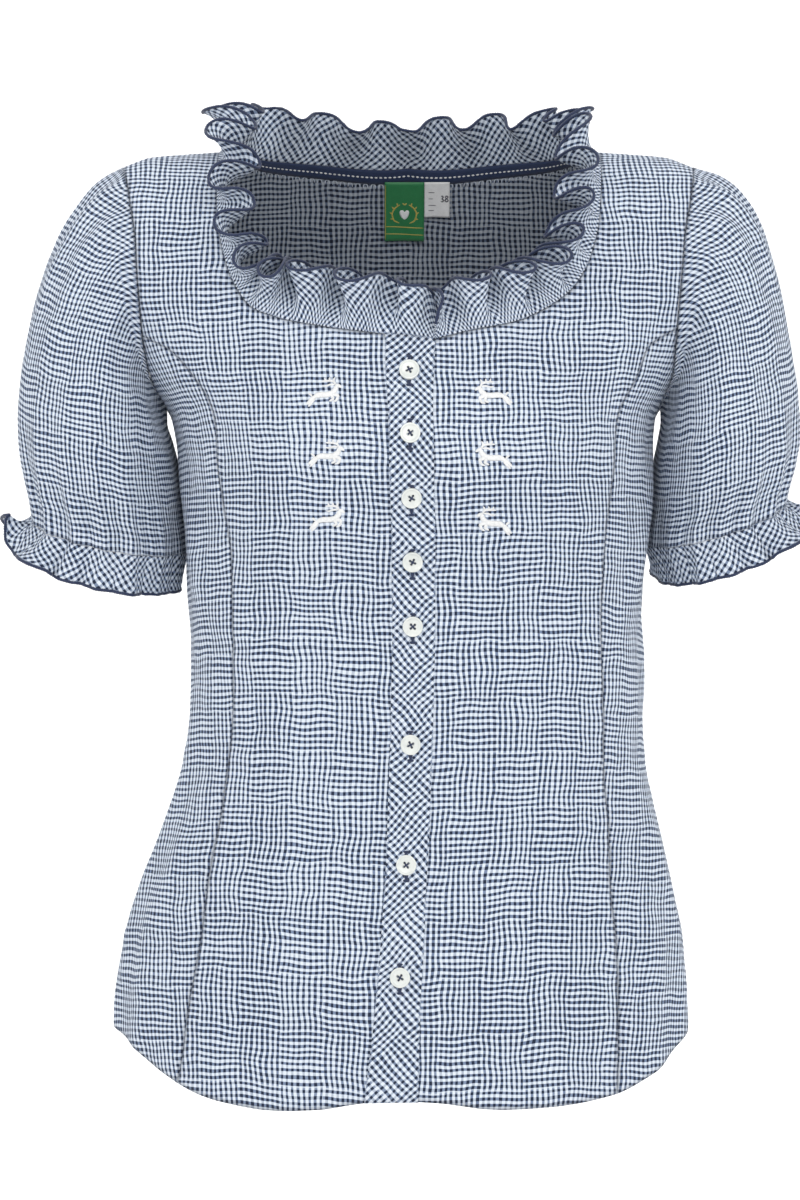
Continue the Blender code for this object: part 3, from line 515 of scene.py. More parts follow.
HEART = (
    table(STROKE, (-2, 1, 3.4), (-1.6, -1.4, 3.2), (0, -5, 1)),
    table(STROKE, (2, 1, 3.4), (1.6, -1.4, 3.2), (0, -5, 1)),
    table(STROKE, (0, 0, 3), (0, -3.4, 2.4)),
)
SIZE_MARKS = (
    table(STROKE, (2.6, 2.2, 0.95), (3.6, 2.5, 0.95), (4.2, 1.6, 0.95), (3.2, 0.8, 0.95), (4.4, -0.2, 0.95),
          (3.6, -1.2, 0.95), (2.5, -0.9, 0.95)),
    table(STROKE, (6.4, 0.9, 0.95), (5.4, 1.6, 0.95), (6.4, 2.5, 0.95), (7.3, 1.7, 0.95), (6.3, 0.8, 0.95),
          (5.3, -0.2, 0.95), (6.4, -1.2, 0.95), (7.5, -0.3, 0.95), (6.5, 0.7, 0.95)),
    table(STROKE, (-5.8, 4.6, 0.5), (-1.6, 4.6, 0.5)),
    table(STROKE, (-5.8, 0.6, 0.5), (-2.6, 0.6, 0.5)),
    table(STROKE, (-5.8, -3.6, 0.5), (-0.6, -3.6, 0.5)),
    table(STROKE, (-5.8, -7, 0.5), (-2, -7, 0.5)),
)


def smooth(at, knots, values):
    """Cubic through the knots that never overshoots, level past its ends."""
    knots = np.asarray(knots, float)
    values = np.asarray(values, float)
    steps = np.diff(knots)
    slopes = np.diff(values) / steps
    total = slopes[:-1] + slopes[1:]
    level = slopes[:-1] * slopes[1:] <= 0
    inner = np.where(level, 0, 2 * slopes[:-1] * slopes[1:] / np.where(level, 1, total))
    tangents = np.concatenate([[slopes[0]], inner, [slopes[-1]]])
    at = np.clip(at, knots[0], knots[-1])
    i = np.clip(np.searchsorted(knots, at, side="right") - 1, 0, len(steps) - 1)
    step = steps[i]
    u = (at - knots[i]) / step
    start = values[i] * (1 + 2 * u) * (1 - u) ** 2 + tangents[i] * step * u * (1 - u) ** 2
    return start + values[i + 1] * u**2 * (3 - 2 * u) + tangents[i + 1] * step * u**2 * (u - 1)


def unit(vectors):
    return vectors / np.maximum(np.linalg.norm(vectors, axis=-1, keepdims=True), 1e-12)


def swell(value, power=2 / GIRTH_ROUND):
    """A sine or cosine pushed out from a circle's, for rounded corners."""
    return np.sign(value) * np.abs(value) ** power


def lumps(points, size, seed):
    """Smooth noise from -1 to 1 with lumps of about that size, which may differ along x, y and z."""
    place = np.asarray(points) / size
    cell = np.floor(place).astype(np.int64)
    share = place - cell
    share = share * share * (3 - 2 * share)
    total = np.zeros(place.shape[:-1])
    for corner in np.ndindex(2, 2, 2):
        near = cell + corner
        key = near[..., 0] * 73856093 ^ near[..., 1] * 19349663 ^ near[..., 2] * 83492791 ^ seed * 2654435
        key = (key ^ (key >> 13)) * 1274126177 & 0xFFFFFFFF
        key = (key ^ (key >> 15)) & 0xFFFFFFFF
        weight = np.prod(np.where(np.array(corner) == 1, share, 1 - share), axis=-1)
        total = total + weight * (key / 2**31 - 1)
    return total


def sides(level):
    right = smooth(level, TORSO["height"], TORSO["right"])
    left = smooth(level, TORSO["height"], TORSO["left"])
    return (left + right) / 2, (left - right) / 2


def fold_rise(turn, z, folds):
    """How far the folds stand out at a place of the form."""
    girth = (np.mod(turn + GIRTH_CUT, 2 * math.pi) - GIRTH_CUT) * MEAN_RADIUS
    rise = np.zeros(np.shape(z))
    for i in range(len(folds["width"])):
        top = np.array([folds["top_girth"][i], folds["top_height"][i]])
        run = np.array([folds["low_girth"][i], folds["low_height"][i]]) - top
        length = np.hypot(*run)
        along = ((girth - top[0]) * run[0] + (z - top[1]) * run[1]) / length**2
        across = ((girth - top[0]) * run[1] - (z - top[1]) * run[0]) / length
        fade = np.exp(-(((along - 0.5) / FOLD_HALF) ** 4))
        rise = rise + folds["depth"][i] * np.exp(-((across / folds["width"][i]) ** 2)) * fade
    return rise


def bust_rise(out, z):
    """The room that the princess seams give. The cloth bridges the middle with only a slight dip."""
    bridged = BUST_BRIDGE * (1 + np.cos(math.pi * np.clip(out / BUST_OUT, 0, 1))) / 2
    across = np.where(out < BUST_OUT, bridged, out - BUST_OUT) / BUST_WIDTH
    return BUST_RISE * np.exp(-(across**2) - ((z - BUST_HEIGHT) / BUST_TALL) ** 2)


def torso(turn, climb, creased=True):
    """Points of the cloth's outer face, with the fine creases or only the solids' folds."""
    turn, climb = np.broadcast_arrays(turn, climb)
    roll = np.clip(climb / OVER_SHOULDER, 0, 1) * QUARTER
    level = ROLL_START * (1 - np.sin(roll)) + np.minimum(climb, 0)
    middle, half = sides(level)
    x = middle + half * swell(np.sin(turn))
    ridge = smooth(np.abs(x), RIDGE["out"], RIDGE["height"])
    z = np.where(climb > 0, ROLL_START + (ridge - ROLL_START) * np.sin(roll), ROLL_START + climb)
    front = smooth(level, TORSO["height"], TORSO["front"])
    back = smooth(level, TORSO["height"], TORSO["back"])
    ahead = np.cos(turn)
    y = -np.where(ahead > 0, front, back) * swell(ahead) * np.cos(roll)
    y = y - np.where(ahead > 0, bust_rise(np.abs(x - middle), z) * np.clip(ahead * 3, 0, 1), 0)
    rise = fold_rise(turn, z, FOLDS) * np.cos(roll)
    if creased:
        rise = rise + creases(turn, x, y, z) * (0.35 + 0.65 * np.cos(roll))
    return np.stack([x + rise * np.sin(turn), y - rise * ahead, z], -1)


def creases(turn, x, y, z):
    """Small creases and the crinkle of the cloth, on the form's own points."""
    points = np.stack([x, y, z], -1)
    soft = CREASE_DEPTH * lumps(points, CREASE_SIZE, 11)
    crinkle = CRINKLE_DEPTH * lumps(points, CRINKLE_SIZE, 23)
    return fold_rise(turn, z, CREASES) + soft + crinkle


def torso_normal(turn, climb):
    step = 4e-4
    across = torso(turn + step / MEAN_RADIUS, climb) - torso(turn - step / MEAN_RADIUS, climb)
    up = torso(turn, climb + step) - torso(turn, climb - step)
    return unit(np.cross(across, up))


def place(x, z, behind=False):
    """The turn and climb of the form's point that is seen at x, z from the front."""
    ridge = smooth(np.abs(x), RIDGE["out"], RIDGE["height"])
    over = np.clip((z - ROLL_START) / (ridge - ROLL_START), 0, 1)
    climb = np.where(z > ROLL_START, np.arcsin(over) / QUARTER * OVER_SHOULDER, z - ROLL_START)
    middle, half = sides(np.where(z > ROLL_START, ROLL_START * (1 - over), z))
    turn = np.arcsin(np.clip(swell((x - middle) / half, GIRTH_ROUND / 2), -1, 1))
    return np.stack([np.where(behind, math.pi - turn, turn), climb], -1)


def hem_place(turn):
    height = smooth(np.degrees(turn), HEM["turn"], HEM["height"]) * MM
    return np.stack([turn, height - ROLL_START], -1)


def spread(knots, count):
    """Count + 1 places at even lengths of a smooth line through the knots."""
    knots = np.asarray(knots, float)
    chord = np.hypot(np.diff(knots[:, 0]) * MEAN_RADIUS, np.diff(knots[:, 1]))
    way = np.concatenate([[0], np.cumsum(chord)])
    fine = np.linspace(0, way[-1], 400)
    line = np.stack([smooth(fine, way, knots[:, i]) for i in range(2)], -1)
    run = way_along(torso(line[:, 0], line[:, 1], False))
    at = np.linspace(0, run[-1], count + 1)
    return np.stack([np.interp(at, run, line[:, i]) for i in range(2)], -1)


def way_along(points):
    """Length from the first point to each of a line's points."""
    steps = np.linalg.norm(np.diff(points, axis=0), axis=-1)
    return np.concatenate([[0], np.cumsum(steps)])


def join(*lines):
    """Lines that share their end points, as one."""
    return np.concatenate([lines[0]] + [line[1:] for line in lines[1:]])


def patch(bottom, top, inner, outer):
    """Places inside four edges. Rows run up, from the inner edge to the outer one."""
    u = np.linspace(0, 1, len(bottom))[None, :, None]
    v = np.linspace(0, 1, len(inner))[:, None, None]
    ruled = (1 - v) * bottom[None] + v * top[None] + (1 - u) * inner[:, None] + u * outer[:, None]
    low_corners = (1 - u) * (1 - v) * bottom[0] + u * (1 - v) * bottom[-1]
    high_corners = (1 - u) * v * top[0] + u * v * top[-1]
    return ruled - low_corners - high_corners


def side_data(side):
    """What differs between the wearer's right and left half."""
    right = side < 0
    return {
        "princess": PRINCESS_RIGHT if right else PRINCESS_LEFT,
        "armhole": ARMHOLE_RIGHT if right else ARMHOLE_LEFT,
        "neckline": NECKLINE_RIGHT if right else NECKLINE_LEFT,
        "corner": NECK_CORNER_RIGHT if right else NECK_CORNER_LEFT,
        "placket": "right" if right else "left",
        "sleeve": SLEEVE_RIGHT if right else SLEEVE_LEFT,
        "name": "right" if right else "left",
    }


def armhole_line(side, behind):
    """Knots of the armhole from the underarm up to the shoulder tip."""
    armhole = side_data(side)["armhole"]
    column = armhole["back" if behind else "front"][::-1]
    knots = place(column, armhole["height"][::-1], behind)
    tip = place(np.array(side * SHOULDER_TIP), np.array(MM), behind)
    under = np.array([side * QUARTER, UNDERARM - ROLL_START])
    if behind and side < 0:
        under[0] = 3 * QUARTER
    return np.concatenate([[under], knots, [tip]])


def split_at(knots, height, below, above):
    """A line parted at a height of its own: its two stretches, as evenly spread places."""
    fine = spread(knots, 300)
    heights = torso(fine[:, 0], fine[:, 1], False)[:, 2]
    cut = int(np.argmin(np.abs(heights - height)))
    return spread(fine[: cut + 1], below), spread(fine[cut:], above)


@functools.cache
def seams(side):
    """The shared seam places of one half: every panel beside a seam takes its points from here."""
    data = side_data(side)
    armhole = armhole_line(side, False)
    low_armhole, high_armhole = split_at(armhole, data["princess"]["z"][-1], SIDE_COLUMNS, ARMHOLE_ROWS)
    princess = place(data["princess"]["x"], data["princess"]["z"])
    princess[0] = hem_place(princess[0, 0])
    princess[-1] = high_armhole[0]
    rows = (HEM_TO_NECK_ROWS, NECK_TO_ARMHOLE_ROWS)
    low_princess, high_princess = split_at(princess, NECK_LEVEL, *rows)
    neckline = place(data["neckline"]["x"], data["neckline"]["z"])
    low_neck, high_neck = split_at(neckline, data["corner"], NECK_TO_ARMHOLE_ROWS, ARMHOLE_ROWS)
    edge = place(PLACKET[data["placket"]], PLACKET["height"])
    edge[0] = hem_place(edge[0, 0])
    edge[-1] = neckline[0]
    side_seam = np.stack([np.full(2, side * QUARTER), [0, UNDERARM - ROLL_START]], -1)
    side_seam[0] = hem_place(side_seam[0, 0])
    return {
        "princess": join(low_princess, high_princess),
        "low_armhole": low_armhole,
        "high_armhole": high_armhole,
        "neckline": join(low_neck, high_neck),
        "edge": spread(edge, HEM_TO_NECK_ROWS),
        "side": spread(side_seam, HEM_TO_NECK_ROWS + NECK_TO_ARMHOLE_ROWS),
        "shoulder": spread([high_neck[-1], high_armhole[-1]], FRONT_COLUMNS),
    }


def hem_line(start, end, count):
    """Hem places between two turns."""
    knots = hem_place(np.linspace(start, end, 12))
    return spread(knots, count)


@functools.cache
def middle_line():
    """The line below the front strip where the two fronts meet."""
    knots = place(PLACKET["middle"], PLACKET["height"])
    knots[0] = hem_place(knots[0, 0])
    return spread(knots, HEM_TO_NECK_ROWS)


def front_grids(side):
    """The centre front: the stretch below the front strip, and the rest of it."""
    line = seams(side)
    hem = hem_line(line["edge"][0, 0], line["princess"][0, 0], FRONT_COLUMNS)
    inner = join(line["edge"], line["neckline"])
    outer = join(line["princess"], line["high_armhole"])
    body = patch(hem, line["shoulder"], inner, outer)
    share = np.linspace(0, 1, STRIP_COLUMNS + 1)[None, :, None]
    strip = middle_line()[:, None] * (1 - share) + line["edge"][:, None] * share
    if side < 0:
        return [body[:, ::-1], strip[:, ::-1]]
    return [body, strip]


def side_front_grids(side):
    line = seams(side)
    hem = hem_line(line["princess"][0, 0], line["side"][0, 0], SIDE_COLUMNS)
    body = patch(hem, line["low_armhole"][::-1], line["princess"], line["side"])
    return [body[:, ::-1]] if side < 0 else [body]


@functools.cache
def back_neck_line():
    knots = place(BACK_NECK["x"], BACK_NECK["z"], True)
    return spread(knots, BACK_NECK_COLUMNS)


def back_side(side):
    """The back's own copy of a side seam and armhole, up to the shoulder tip."""
    seam = seams(side)["side"].copy()
    if side < 0:
        seam[:, 0] = 3 * QUARTER
    return seam, spread(armhole_line(side, True), BACK_ARMHOLE_ROWS)


@functools.cache
def back_grid():
    left, right = (join(*back_side(side)) for side in (1, -1))
    neck = back_neck_line()
    top = join(
        spread([left[-1], neck[0]], BACK_SHOULDER_COLUMNS),
        neck,
        spread([neck[-1], right[-1]], BACK_SHOULDER_COLUMNS),
    )
    hem = hem_line(left[0, 0], right[0, 0], len(top) - 1)
    return patch(hem, top, left, right)


def form_edge(places):
    """Outer points and normals along a line of places."""
    return torso(places[:, 0], places[:, 1]), torso_normal(places[:, 0], places[:, 1])


@functools.cache
def lengths_on_form():
    """Cloth lengths over the whole form: round it from the centre front, and up it."""
    turns = np.linspace(-QUARTER - 0.3, 3 * QUARTER + 0.3, 420)
    climbs = np.linspace(-0.56, OVER_SHOULDER, 300)
    points = torso(turns[None, :], climbs[:, None], False)
    round_ = np.linalg.norm(np.diff(points, axis=1), axis=-1)
    round_ = np.concatenate([np.zeros((len(climbs), 1)), np.cumsum(round_, axis=1)], 1)
    up = np.linalg.norm(np.diff(points, axis=0), axis=-1)
    up = np.concatenate([np.zeros((1, len(turns))), np.cumsum(up, axis=0)])
    start = np.array([np.interp(0, turns, row) for row in round_])
    base = up[int(np.argmin(np.abs(climbs)))]
    return turns, climbs, round_ - start[:, None], up - base


def cloth_place(places, from_turn=0.0):
    """Cloth coordinates in metres: across from a turn of the form, and up."""
    turns, climbs, round_, up = lengths_on_form()
    found = []
    for values in (round_, up):
        found.append(on_grid(values, turns, climbs, places[..., 0], places[..., 1]))
    if from_turn:
        middle = np.full(np.shape(places[..., 0]), from_turn)
        found[0] = found[0] - on_grid(round_, turns, climbs, middle, places[..., 1])
    return np.stack(found, -1)


def on_grid(values, columns, rows, x, y):
    """Values between the points of a grid with even columns and rows."""
    a = np.clip((x - columns[0]) / (columns[1] - columns[0]), 0, len(columns) - 1.001)
    b = np.clip((y - rows[0]) / (rows[1] - rows[0]), 0, len(rows) - 1.001)
    i, j = a.astype(int), b.astype(int)
    a, b = a - i, b - j
    low = values[j, i] * (1 - a) + values[j, i + 1] * a
    high = values[j + 1, i] * (1 - a) + values[j + 1, i + 1] * a
    return low * (1 - b) + high * b


def turned(flat, degrees):
    """Cloth coordinates with the grain turned."""
    angle = math.radians(degrees)
    across, up = flat[..., 0], flat[..., 1]
    return np.stack([across * math.cos(angle) - up * math.sin(angle),
                     across * math.sin(angle) + up * math.cos(angle)], -1)


def grid_faces(rows, columns, start=0, closed=False):
    """Four-sided faces of a grid of points stored row by row."""
    steps = columns if closed else columns - 1
    i, j = np.meshgrid(np.arange(rows - 1), np.arange(steps), indexing="ij")
    right = (j + 1) % columns
    corners = (i * columns + j, i * columns + right, (i + 1) * columns + right, (i + 1) * columns + j)
    return np.stack([start + c.ravel() for c in corners], -1)


def rim_edges(faces):
    """Edges with one face, in the direction that their face runs."""
    ends = np.concatenate([np.stack([faces[:, k], faces[:, (k + 1) % 4]], -1) for k in range(4)])
    key = ends[:, 0].astype(np.int64) * (faces.max() + 1) + ends[:, 1]
    back = ends[:, 1].astype(np.int64) * (faces.max() + 1) + ends[:, 0]
    return ends[~np.isin(key, back)]


def rim_distance(points, rims):
    """How far each point is from the nearest rim edge."""
    start, end = points[rims[:, 0]], points[rims[:, 1]]
    run = end - start
    size = np.maximum(np.sum(run * run, -1), 1e-16)
    nearest = np.full(len(points), 1.0)
    for low in range(0, len(points), 2000):
        part = points[low:low + 2000, None]
        share = np.clip(np.sum((part - start) * run, -1) / size, 0, 1)
        gap = np.linalg.norm(part - start - share[..., None] * run, axis=-1)
        nearest[low:low + 2000] = gap.min(1)
    return nearest


def piece_from(name, mesh, finish):
    piece = bpy.data.objects.new(name, mesh)
    bpy.context.collection.objects.link(piece)
    mesh.materials.append(finish)
    mesh.shade_smooth()
    return piece


def shell(name, outer, normals, faces, flat, thick, finish, edge=None):
    """A closed sheet of cloth under its outer face, with its cloth coordinates as UV map."""
    count = len(outer)
    rims = rim_edges(faces)
    quads = np.concatenate([faces, faces[:, ::-1] + count,
                            np.stack([rims[:, 1], rims[:, 0], rims[:, 0] + count, rims[:, 1] + count], -1)])
    points = np.concatenate([outer, outer - normals * thick])
    mesh = bpy.data.meshes.new(name)
    mesh.from_pydata(points.tolist(), [], quads.tolist())
    corners = np.empty(len(mesh.loops), np.int32)
    mesh.loops.foreach_get("vertex_index", corners)
    layer = mesh.uv_layers.new(name="cloth")
    both = np.concatenate([flat, flat])
    layer.data.foreach_set("uv", both[corners].astype(np.float32).ravel())
    # The distance from the rim, by which the check material paints shade along the seams.
    if edge is not None:
        near = mesh.attributes.new("rim", "FLOAT", "POINT")
        near.data.foreach_set("value", np.concatenate([edge, edge]).astype(np.float32))
    mesh.update()
    return piece_from(name, mesh, finish)


def declare(piece, node, flat, faces):
    """Attaches the finished cloth to the root body and hides the frame part that it stands for. Works out the
    size that it was cut to, but keeps it nowhere.
    """
    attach(piece, "root")
    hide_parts(node)
    x, y = flat[faces, 0], flat[faces, 1]
    area = abs(np.sum(x * np.roll(y, -1, 1) - y * np.roll(x, -1, 1)) / 2)
    size = np.ptp(flat, axis=0)
    area = min(float(area), float(size[0] * size[1]))


def panel(name, grids, grain, from_turn=0.0):
    """A cut piece of cloth from grids of places on the form, drawn in a little at its seams."""
    points, faces, start = [], [], 0
    for grid in grids:
        rows, columns = grid.shape[:2]
        points.append(grid.reshape(-1, 2))
        faces.append(grid_faces(rows, columns, start))
        start += rows * columns
    places = np.concatenate(points)
    outer = torso(places[:, 0], places[:, 1])
    keys = np.round(outer / WELD)
    _, first, index = np.unique(keys, axis=0, return_index=True, return_inverse=True)
    faces = index.reshape(-1)[np.concatenate(faces)]
    places, outer = places[first], outer[first]
    normals = torso_normal(places[:, 0], places[:, 1])
    rims = rim_edges(faces)
    flat = turned(cloth_place(places, from_turn), grain)
    outer = outer + drawn_in(outer, normals, rims, SEAM / 2)
    edge = rim_distance(outer, rims)
    outer = outer - normals * (SEAM_SINK * np.exp(-((edge / SEAM_WIDTH) ** 2)))[:, None]
    # The same rim distance lets the check material paint shade along the seams.
    piece = shell(f"{name}_cloth", outer, normals, faces, flat, CLOTH,
                  bpy.data.materials["seersucker check"], edge)
    # Painted shade: the inner faces take a darker copy of the check, standing in for the shade inside the
    # blouse.
    piece.data.materials.append(bpy.data.materials["wrong side"])
    sides_ = np.zeros(len(piece.data.polygons), np.int32)
    sides_[len(faces):2 * len(faces)] = 1
    piece.data.polygons.foreach_set("material_index", sides_)
    declare(piece, name, flat, faces)


def drawn_in(points, normals, rims, gap):
    """How each rim point moves in from its edge, so that two pieces end up apart at a seam."""
    edge = unit(points[rims[:, 1]] - points[rims[:, 0]])
    shift = np.zeros_like(points)
    for k in range(2):
        np.add.at(shift, rims[:, k], np.cross(normals[rims[:, k]], edge))
    return unit(shift) * gap * (np.linalg.norm(shift, axis=-1, keepdims=True) > 0.1)


def neckline_edge():
    """The whole neckline from the front strip's left edge, by way of the right shoulder, and back."""
    right, left = seams(-1), seams(1)
    share = np.linspace(0, 1, 2 * STRIP_COLUMNS + 1)[:, None]
    strip = left["edge"][-1] * (1 - share) + right["edge"][-1] * share
    front_right = join(strip, right["neckline"])
    back = back_neck_line()[::-1]
    points, normals = [], []
    for line in (front_right[:-1], back[:-1], left["neckline"][::-1]):
        found = form_edge(line)
        points.append(found[0])
        normals.append(found[1])
    return np.concatenate(points), np.concatenate(normals)


def resampled(points, normals, count, ring):
    """An edge at even lengths, with its normals and its directions."""
    if ring:
        points = np.concatenate([points, points[:1]])
        normals = np.concatenate([normals, normals[:1]])
    run = way_along(points)
    at = np.linspace(0, run[-1], count + 1)
    at = at[:-1] if ring else at
    line = np.stack([np.interp(at, run, points[:, k]) for k in range(3)], -1)
    facing = unit(np.stack([np.interp(at, run, normals[:, k]) for k in range(3)], -1))
    if ring:
        tangents = unit(np.roll(line, -2, 0) - np.roll(line, 2, 0))
    else:
        tangents = unit(np.gradient(line, axis=0))
    return line, facing, tangents, at / run[-1]


def eased(values, width, ring):
    """Directions evened out along a line."""
    reach = int(width)
    bell = np.exp(-(np.linspace(-2, 2, 2 * reach + 1) ** 2))
    pad = [(reach, reach)] + [(0, 0)] * (values.ndim - 1)
    long = np.pad(values, pad, mode="wrap" if ring else "edge")
    return unit(np.stack([np.convolve(long[:, k], bell / bell.sum(), "valid") for k in range(3)], -1))


def ruffle(node, base, out, away, tangents, share, lobes, levels, ring=False, taper=1.0):
    """A gathered bias strip with a navy overlocked edge. Each row of the lobes is one wave."""
    name = f"{node}_cloth"
    crests = np.arange(len(lobes["at"]))
    wave = {key: around(share, lobes["at"], lobes[key], ring) for key in ("width", "lean", "swing", "skew")}
    phase = 2 * math.pi * around(share, lobes["at"], crests, ring, len(crests))
    lean, swing = np.radians(wave["lean"]), np.radians(wave["swing"])
    width = wave["width"] * MM * taper
    lean = lean + LOBE_CHANCE * lumps(base, LOBE_LUMP, 61)
    angle = lean + swing * np.cos(phase)
    deep = (swing / DEEP_SWING) ** 2
    rows = [base]
    run_away, run_out = np.zeros_like(angle), np.zeros_like(angle)
    steps = np.linspace(0, 1, levels)
    for k in range(1, levels):
        middle = (steps[k] + steps[k - 1]) / 2
        bend = angle * middle**FRILL_CURL
        run_away = run_away + np.cos(bend) * (steps[k] - steps[k - 1])
        run_out = run_out + np.sin(bend) * (steps[k] - steps[k - 1])
        loops = (ROUNDED_LOBES * np.sin(2 * phase) + PINCHED_VALLEYS * np.sin(phase)) * deep
        slip = (wave["skew"] * np.cos(phase) + loops) * steps[k] ** 1.3
        offset = away * run_away[:, None] + out * run_out[:, None] + tangents * slip[:, None]
        rows.append(base + offset * width[:, None])
    grid = np.stack(rows)
    points = grid.reshape(-1, 3)
    fade = np.repeat(steps, len(base))
    gathers = GATHER_DEPTH * np.sin(GATHERS * 2 * math.pi * share + 3 * lumps(base, 0.02, 5))
    gathers = np.tile(gathers, levels) * fade * np.clip(1.15 - fade, 0, 1) ** 1.5 * 3
    up = np.gradient(grid, axis=0)
    across = np.roll(grid, -1, 1) - np.roll(grid, 1, 1) if ring else np.gradient(grid, axis=1)
    normals = unit(np.cross(across, up)).reshape(-1, 3)
    sign = np.sign(np.sum(np.cross(across[0], up[0]) * out))
    normals = normals * sign
    lumpy = gathers + FRILL_CRINKLE * lumps(points, FRILL_LUMP, 31) * fade
    points = points + normals * lumpy[:, None]
    faces = grid_faces(levels, len(base), closed=ring)
    if sign < 0:
        faces = faces[:, ::-1]
    edge_length = np.linalg.norm(np.diff(grid[levels * 2 // 3], axis=0), axis=-1)
    along = np.concatenate([[0], np.cumsum(edge_length)])
    height = np.outer(steps, np.ones(len(base))) * float(np.mean(width))
    flat = np.stack([np.tile(along, (levels, 1)), height], -1).reshape(-1, 2)
    outer = points + normals * FRILL_CLOTH / 2
    if ring:
        around_ = float(along[-1] + np.linalg.norm(grid[levels * 2 // 3][0] - grid[levels * 2 // 3][-1]))
        piece = ring_shell(name, outer.reshape(grid.shape), normals.reshape(grid.shape), faces, flat, around_,
                           FRILL_CLOTH, "bias check")
        declare(piece, node, flat, wrapped(faces, len(base)))
    else:
        piece = shell(name, outer, normals, faces, flat, FRILL_CLOTH, bpy.data.materials["bias check"])
        declare(piece, node, flat, faces)
    finished = points.reshape(levels, -1, 3)
    tube(f"{node}_edge", finished[-1], ring, OVERLOCK_RADIUS, bpy.data.materials["navy_thread"])


def around(share, at, values, ring, jump=0):
    """A table's column at each share of the way, joined end to start round a ring."""
    at = np.asarray(at, float)
    values = np.asarray(values, float)
    if ring:
        at = np.concatenate([at[-2:] - 1, at, at[:2] + 1])
        values = np.concatenate([values[-2:] - jump, values, values[:2] + jump])
    elif jump:
        first, last = at[0] - (at[1] - at[0]), at[-1] + (at[-1] - at[-2])
        at = np.concatenate([[first], at, [last]])
        values = np.concatenate([[values[0] - 1], values, [values[-1] + 1]])
    return smooth(share, at, values)


def tube(name, line, ring, radius, finish):
    """An overlocked edge: a thick thread wound closely round the cloth's free edge."""
    run = way_along(line)
    if ring:
        line = np.concatenate([line, line[:1]])
        run = way_along(line)
    count = int(run[-1] / OVERLOCK_STEP)
    at = np.linspace(0, run[-1], count + 1)
    at = at[:-1] if ring else at
    path = np.stack([np.interp(at, run, line[:, k]) for k in range(3)], -1)
    ahead = unit(np.roll(path, -1, 0) - np.roll(path, 1, 0)) if ring else unit(np.gradient(path, axis=0))
    side = unit(np.cross(ahead, (0.31, 0.17, 0.93)))
    up = np.cross(ahead, side)
    size = radius * (1 + THREAD_LUMPS * lumps(path, 0.0022, 3)
                     + THREAD_TWIST * np.cos(np.arange(len(path)) * math.pi))
    angle = np.linspace(0, 2 * math.pi, FACETS, endpoint=False)
    rounds = side[:, None] * np.cos(angle)[None, :, None] + up[:, None] * np.sin(angle)[None, :, None]
    points = (path[:, None] + rounds * size[:, None, None]).reshape(-1, 3)
    i, j = np.meshgrid(np.arange(len(path) if ring else len(path) - 1), np.arange(FACETS), indexing="ij")
    i, j = i.ravel(), j.ravel()
    nxt, beside = (i + 1) % len(path), (j + 1) % FACETS
    quads = np.stack([i * FACETS + j, i * FACETS + beside, nxt * FACETS + beside, nxt * FACETS + j], -1)
    faces = quads.tolist()
    if not ring:
        faces.append(list(range(FACETS))[::-1])
        faces.append([(len(path) - 1) * FACETS + k for k in range(FACETS)])
    mesh = bpy.data.meshes.new(name)
    mesh.from_pydata(points.tolist(), [], faces)
    fix_normals(mesh)
    piece = piece_from(name, mesh, finish)
    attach(piece, "root")


def fix_normals(mesh):
    build = bmesh.new()
    build.from_mesh(mesh)
    bmesh.ops.recalc_face_normals(build, faces=build.faces)
    build.to_mesh(mesh)
    build.free()


def armhole_edge(side):
    """The armhole from the shoulder tip down the front and up the back, as a ring."""
    line = seams(side)
    front = join(line["high_armhole"][::-1], line["low_armhole"][::-1])
    back = back_side(side)[1]
    front_points, front_normals = form_edge(front[:-1])
    back_points, back_normals = form_edge(back[:-1])
    return np.concatenate([front_points, back_points]), np.concatenate([front_normals, back_normals])


def oval(section, clock):
    """Points of one sleeve section at clock angles: 0 at its outer end, a quarter turn at the front."""
    outer = np.array([section["outer_x"], 0, section["outer_z"]])
    inner = np.array([section["inner_x"], 0, section["inner_z"]])
    middle = (outer + inner) / 2 - (0, section["forward"], 0)
    reach = (outer - inner) / 2
    up, ahead = swell(np.cos(clock)), swell(np.sin(clock))
    points = middle + reach * up[:, None] + np.array([0, -section["depth"], 0]) * ahead[:, None]
    points[:, 2] -= section["drop"] * ahead
    points[:, 1] += section["back"] * np.clip(-up, 0, 1) ** 2
    return points, middle


def clock_angles(points, section):
    """The clock angle of each armhole point on the first section's oval."""
    outer = np.array([section["outer_x"], 0, section["outer_z"]])
    inner = np.array([section["inner_x"], 0, section["inner_z"]])
    reach = (outer - inner) / 2
    from_middle = points - (outer + inner) / 2
    up = from_middle @ reach / (reach @ reach)
    ahead = -from_middle[:, 1] / section["depth"]
    return np.arctan2(swell(ahead, GIRTH_ROUND / 2), swell(up, GIRTH_ROUND / 2))


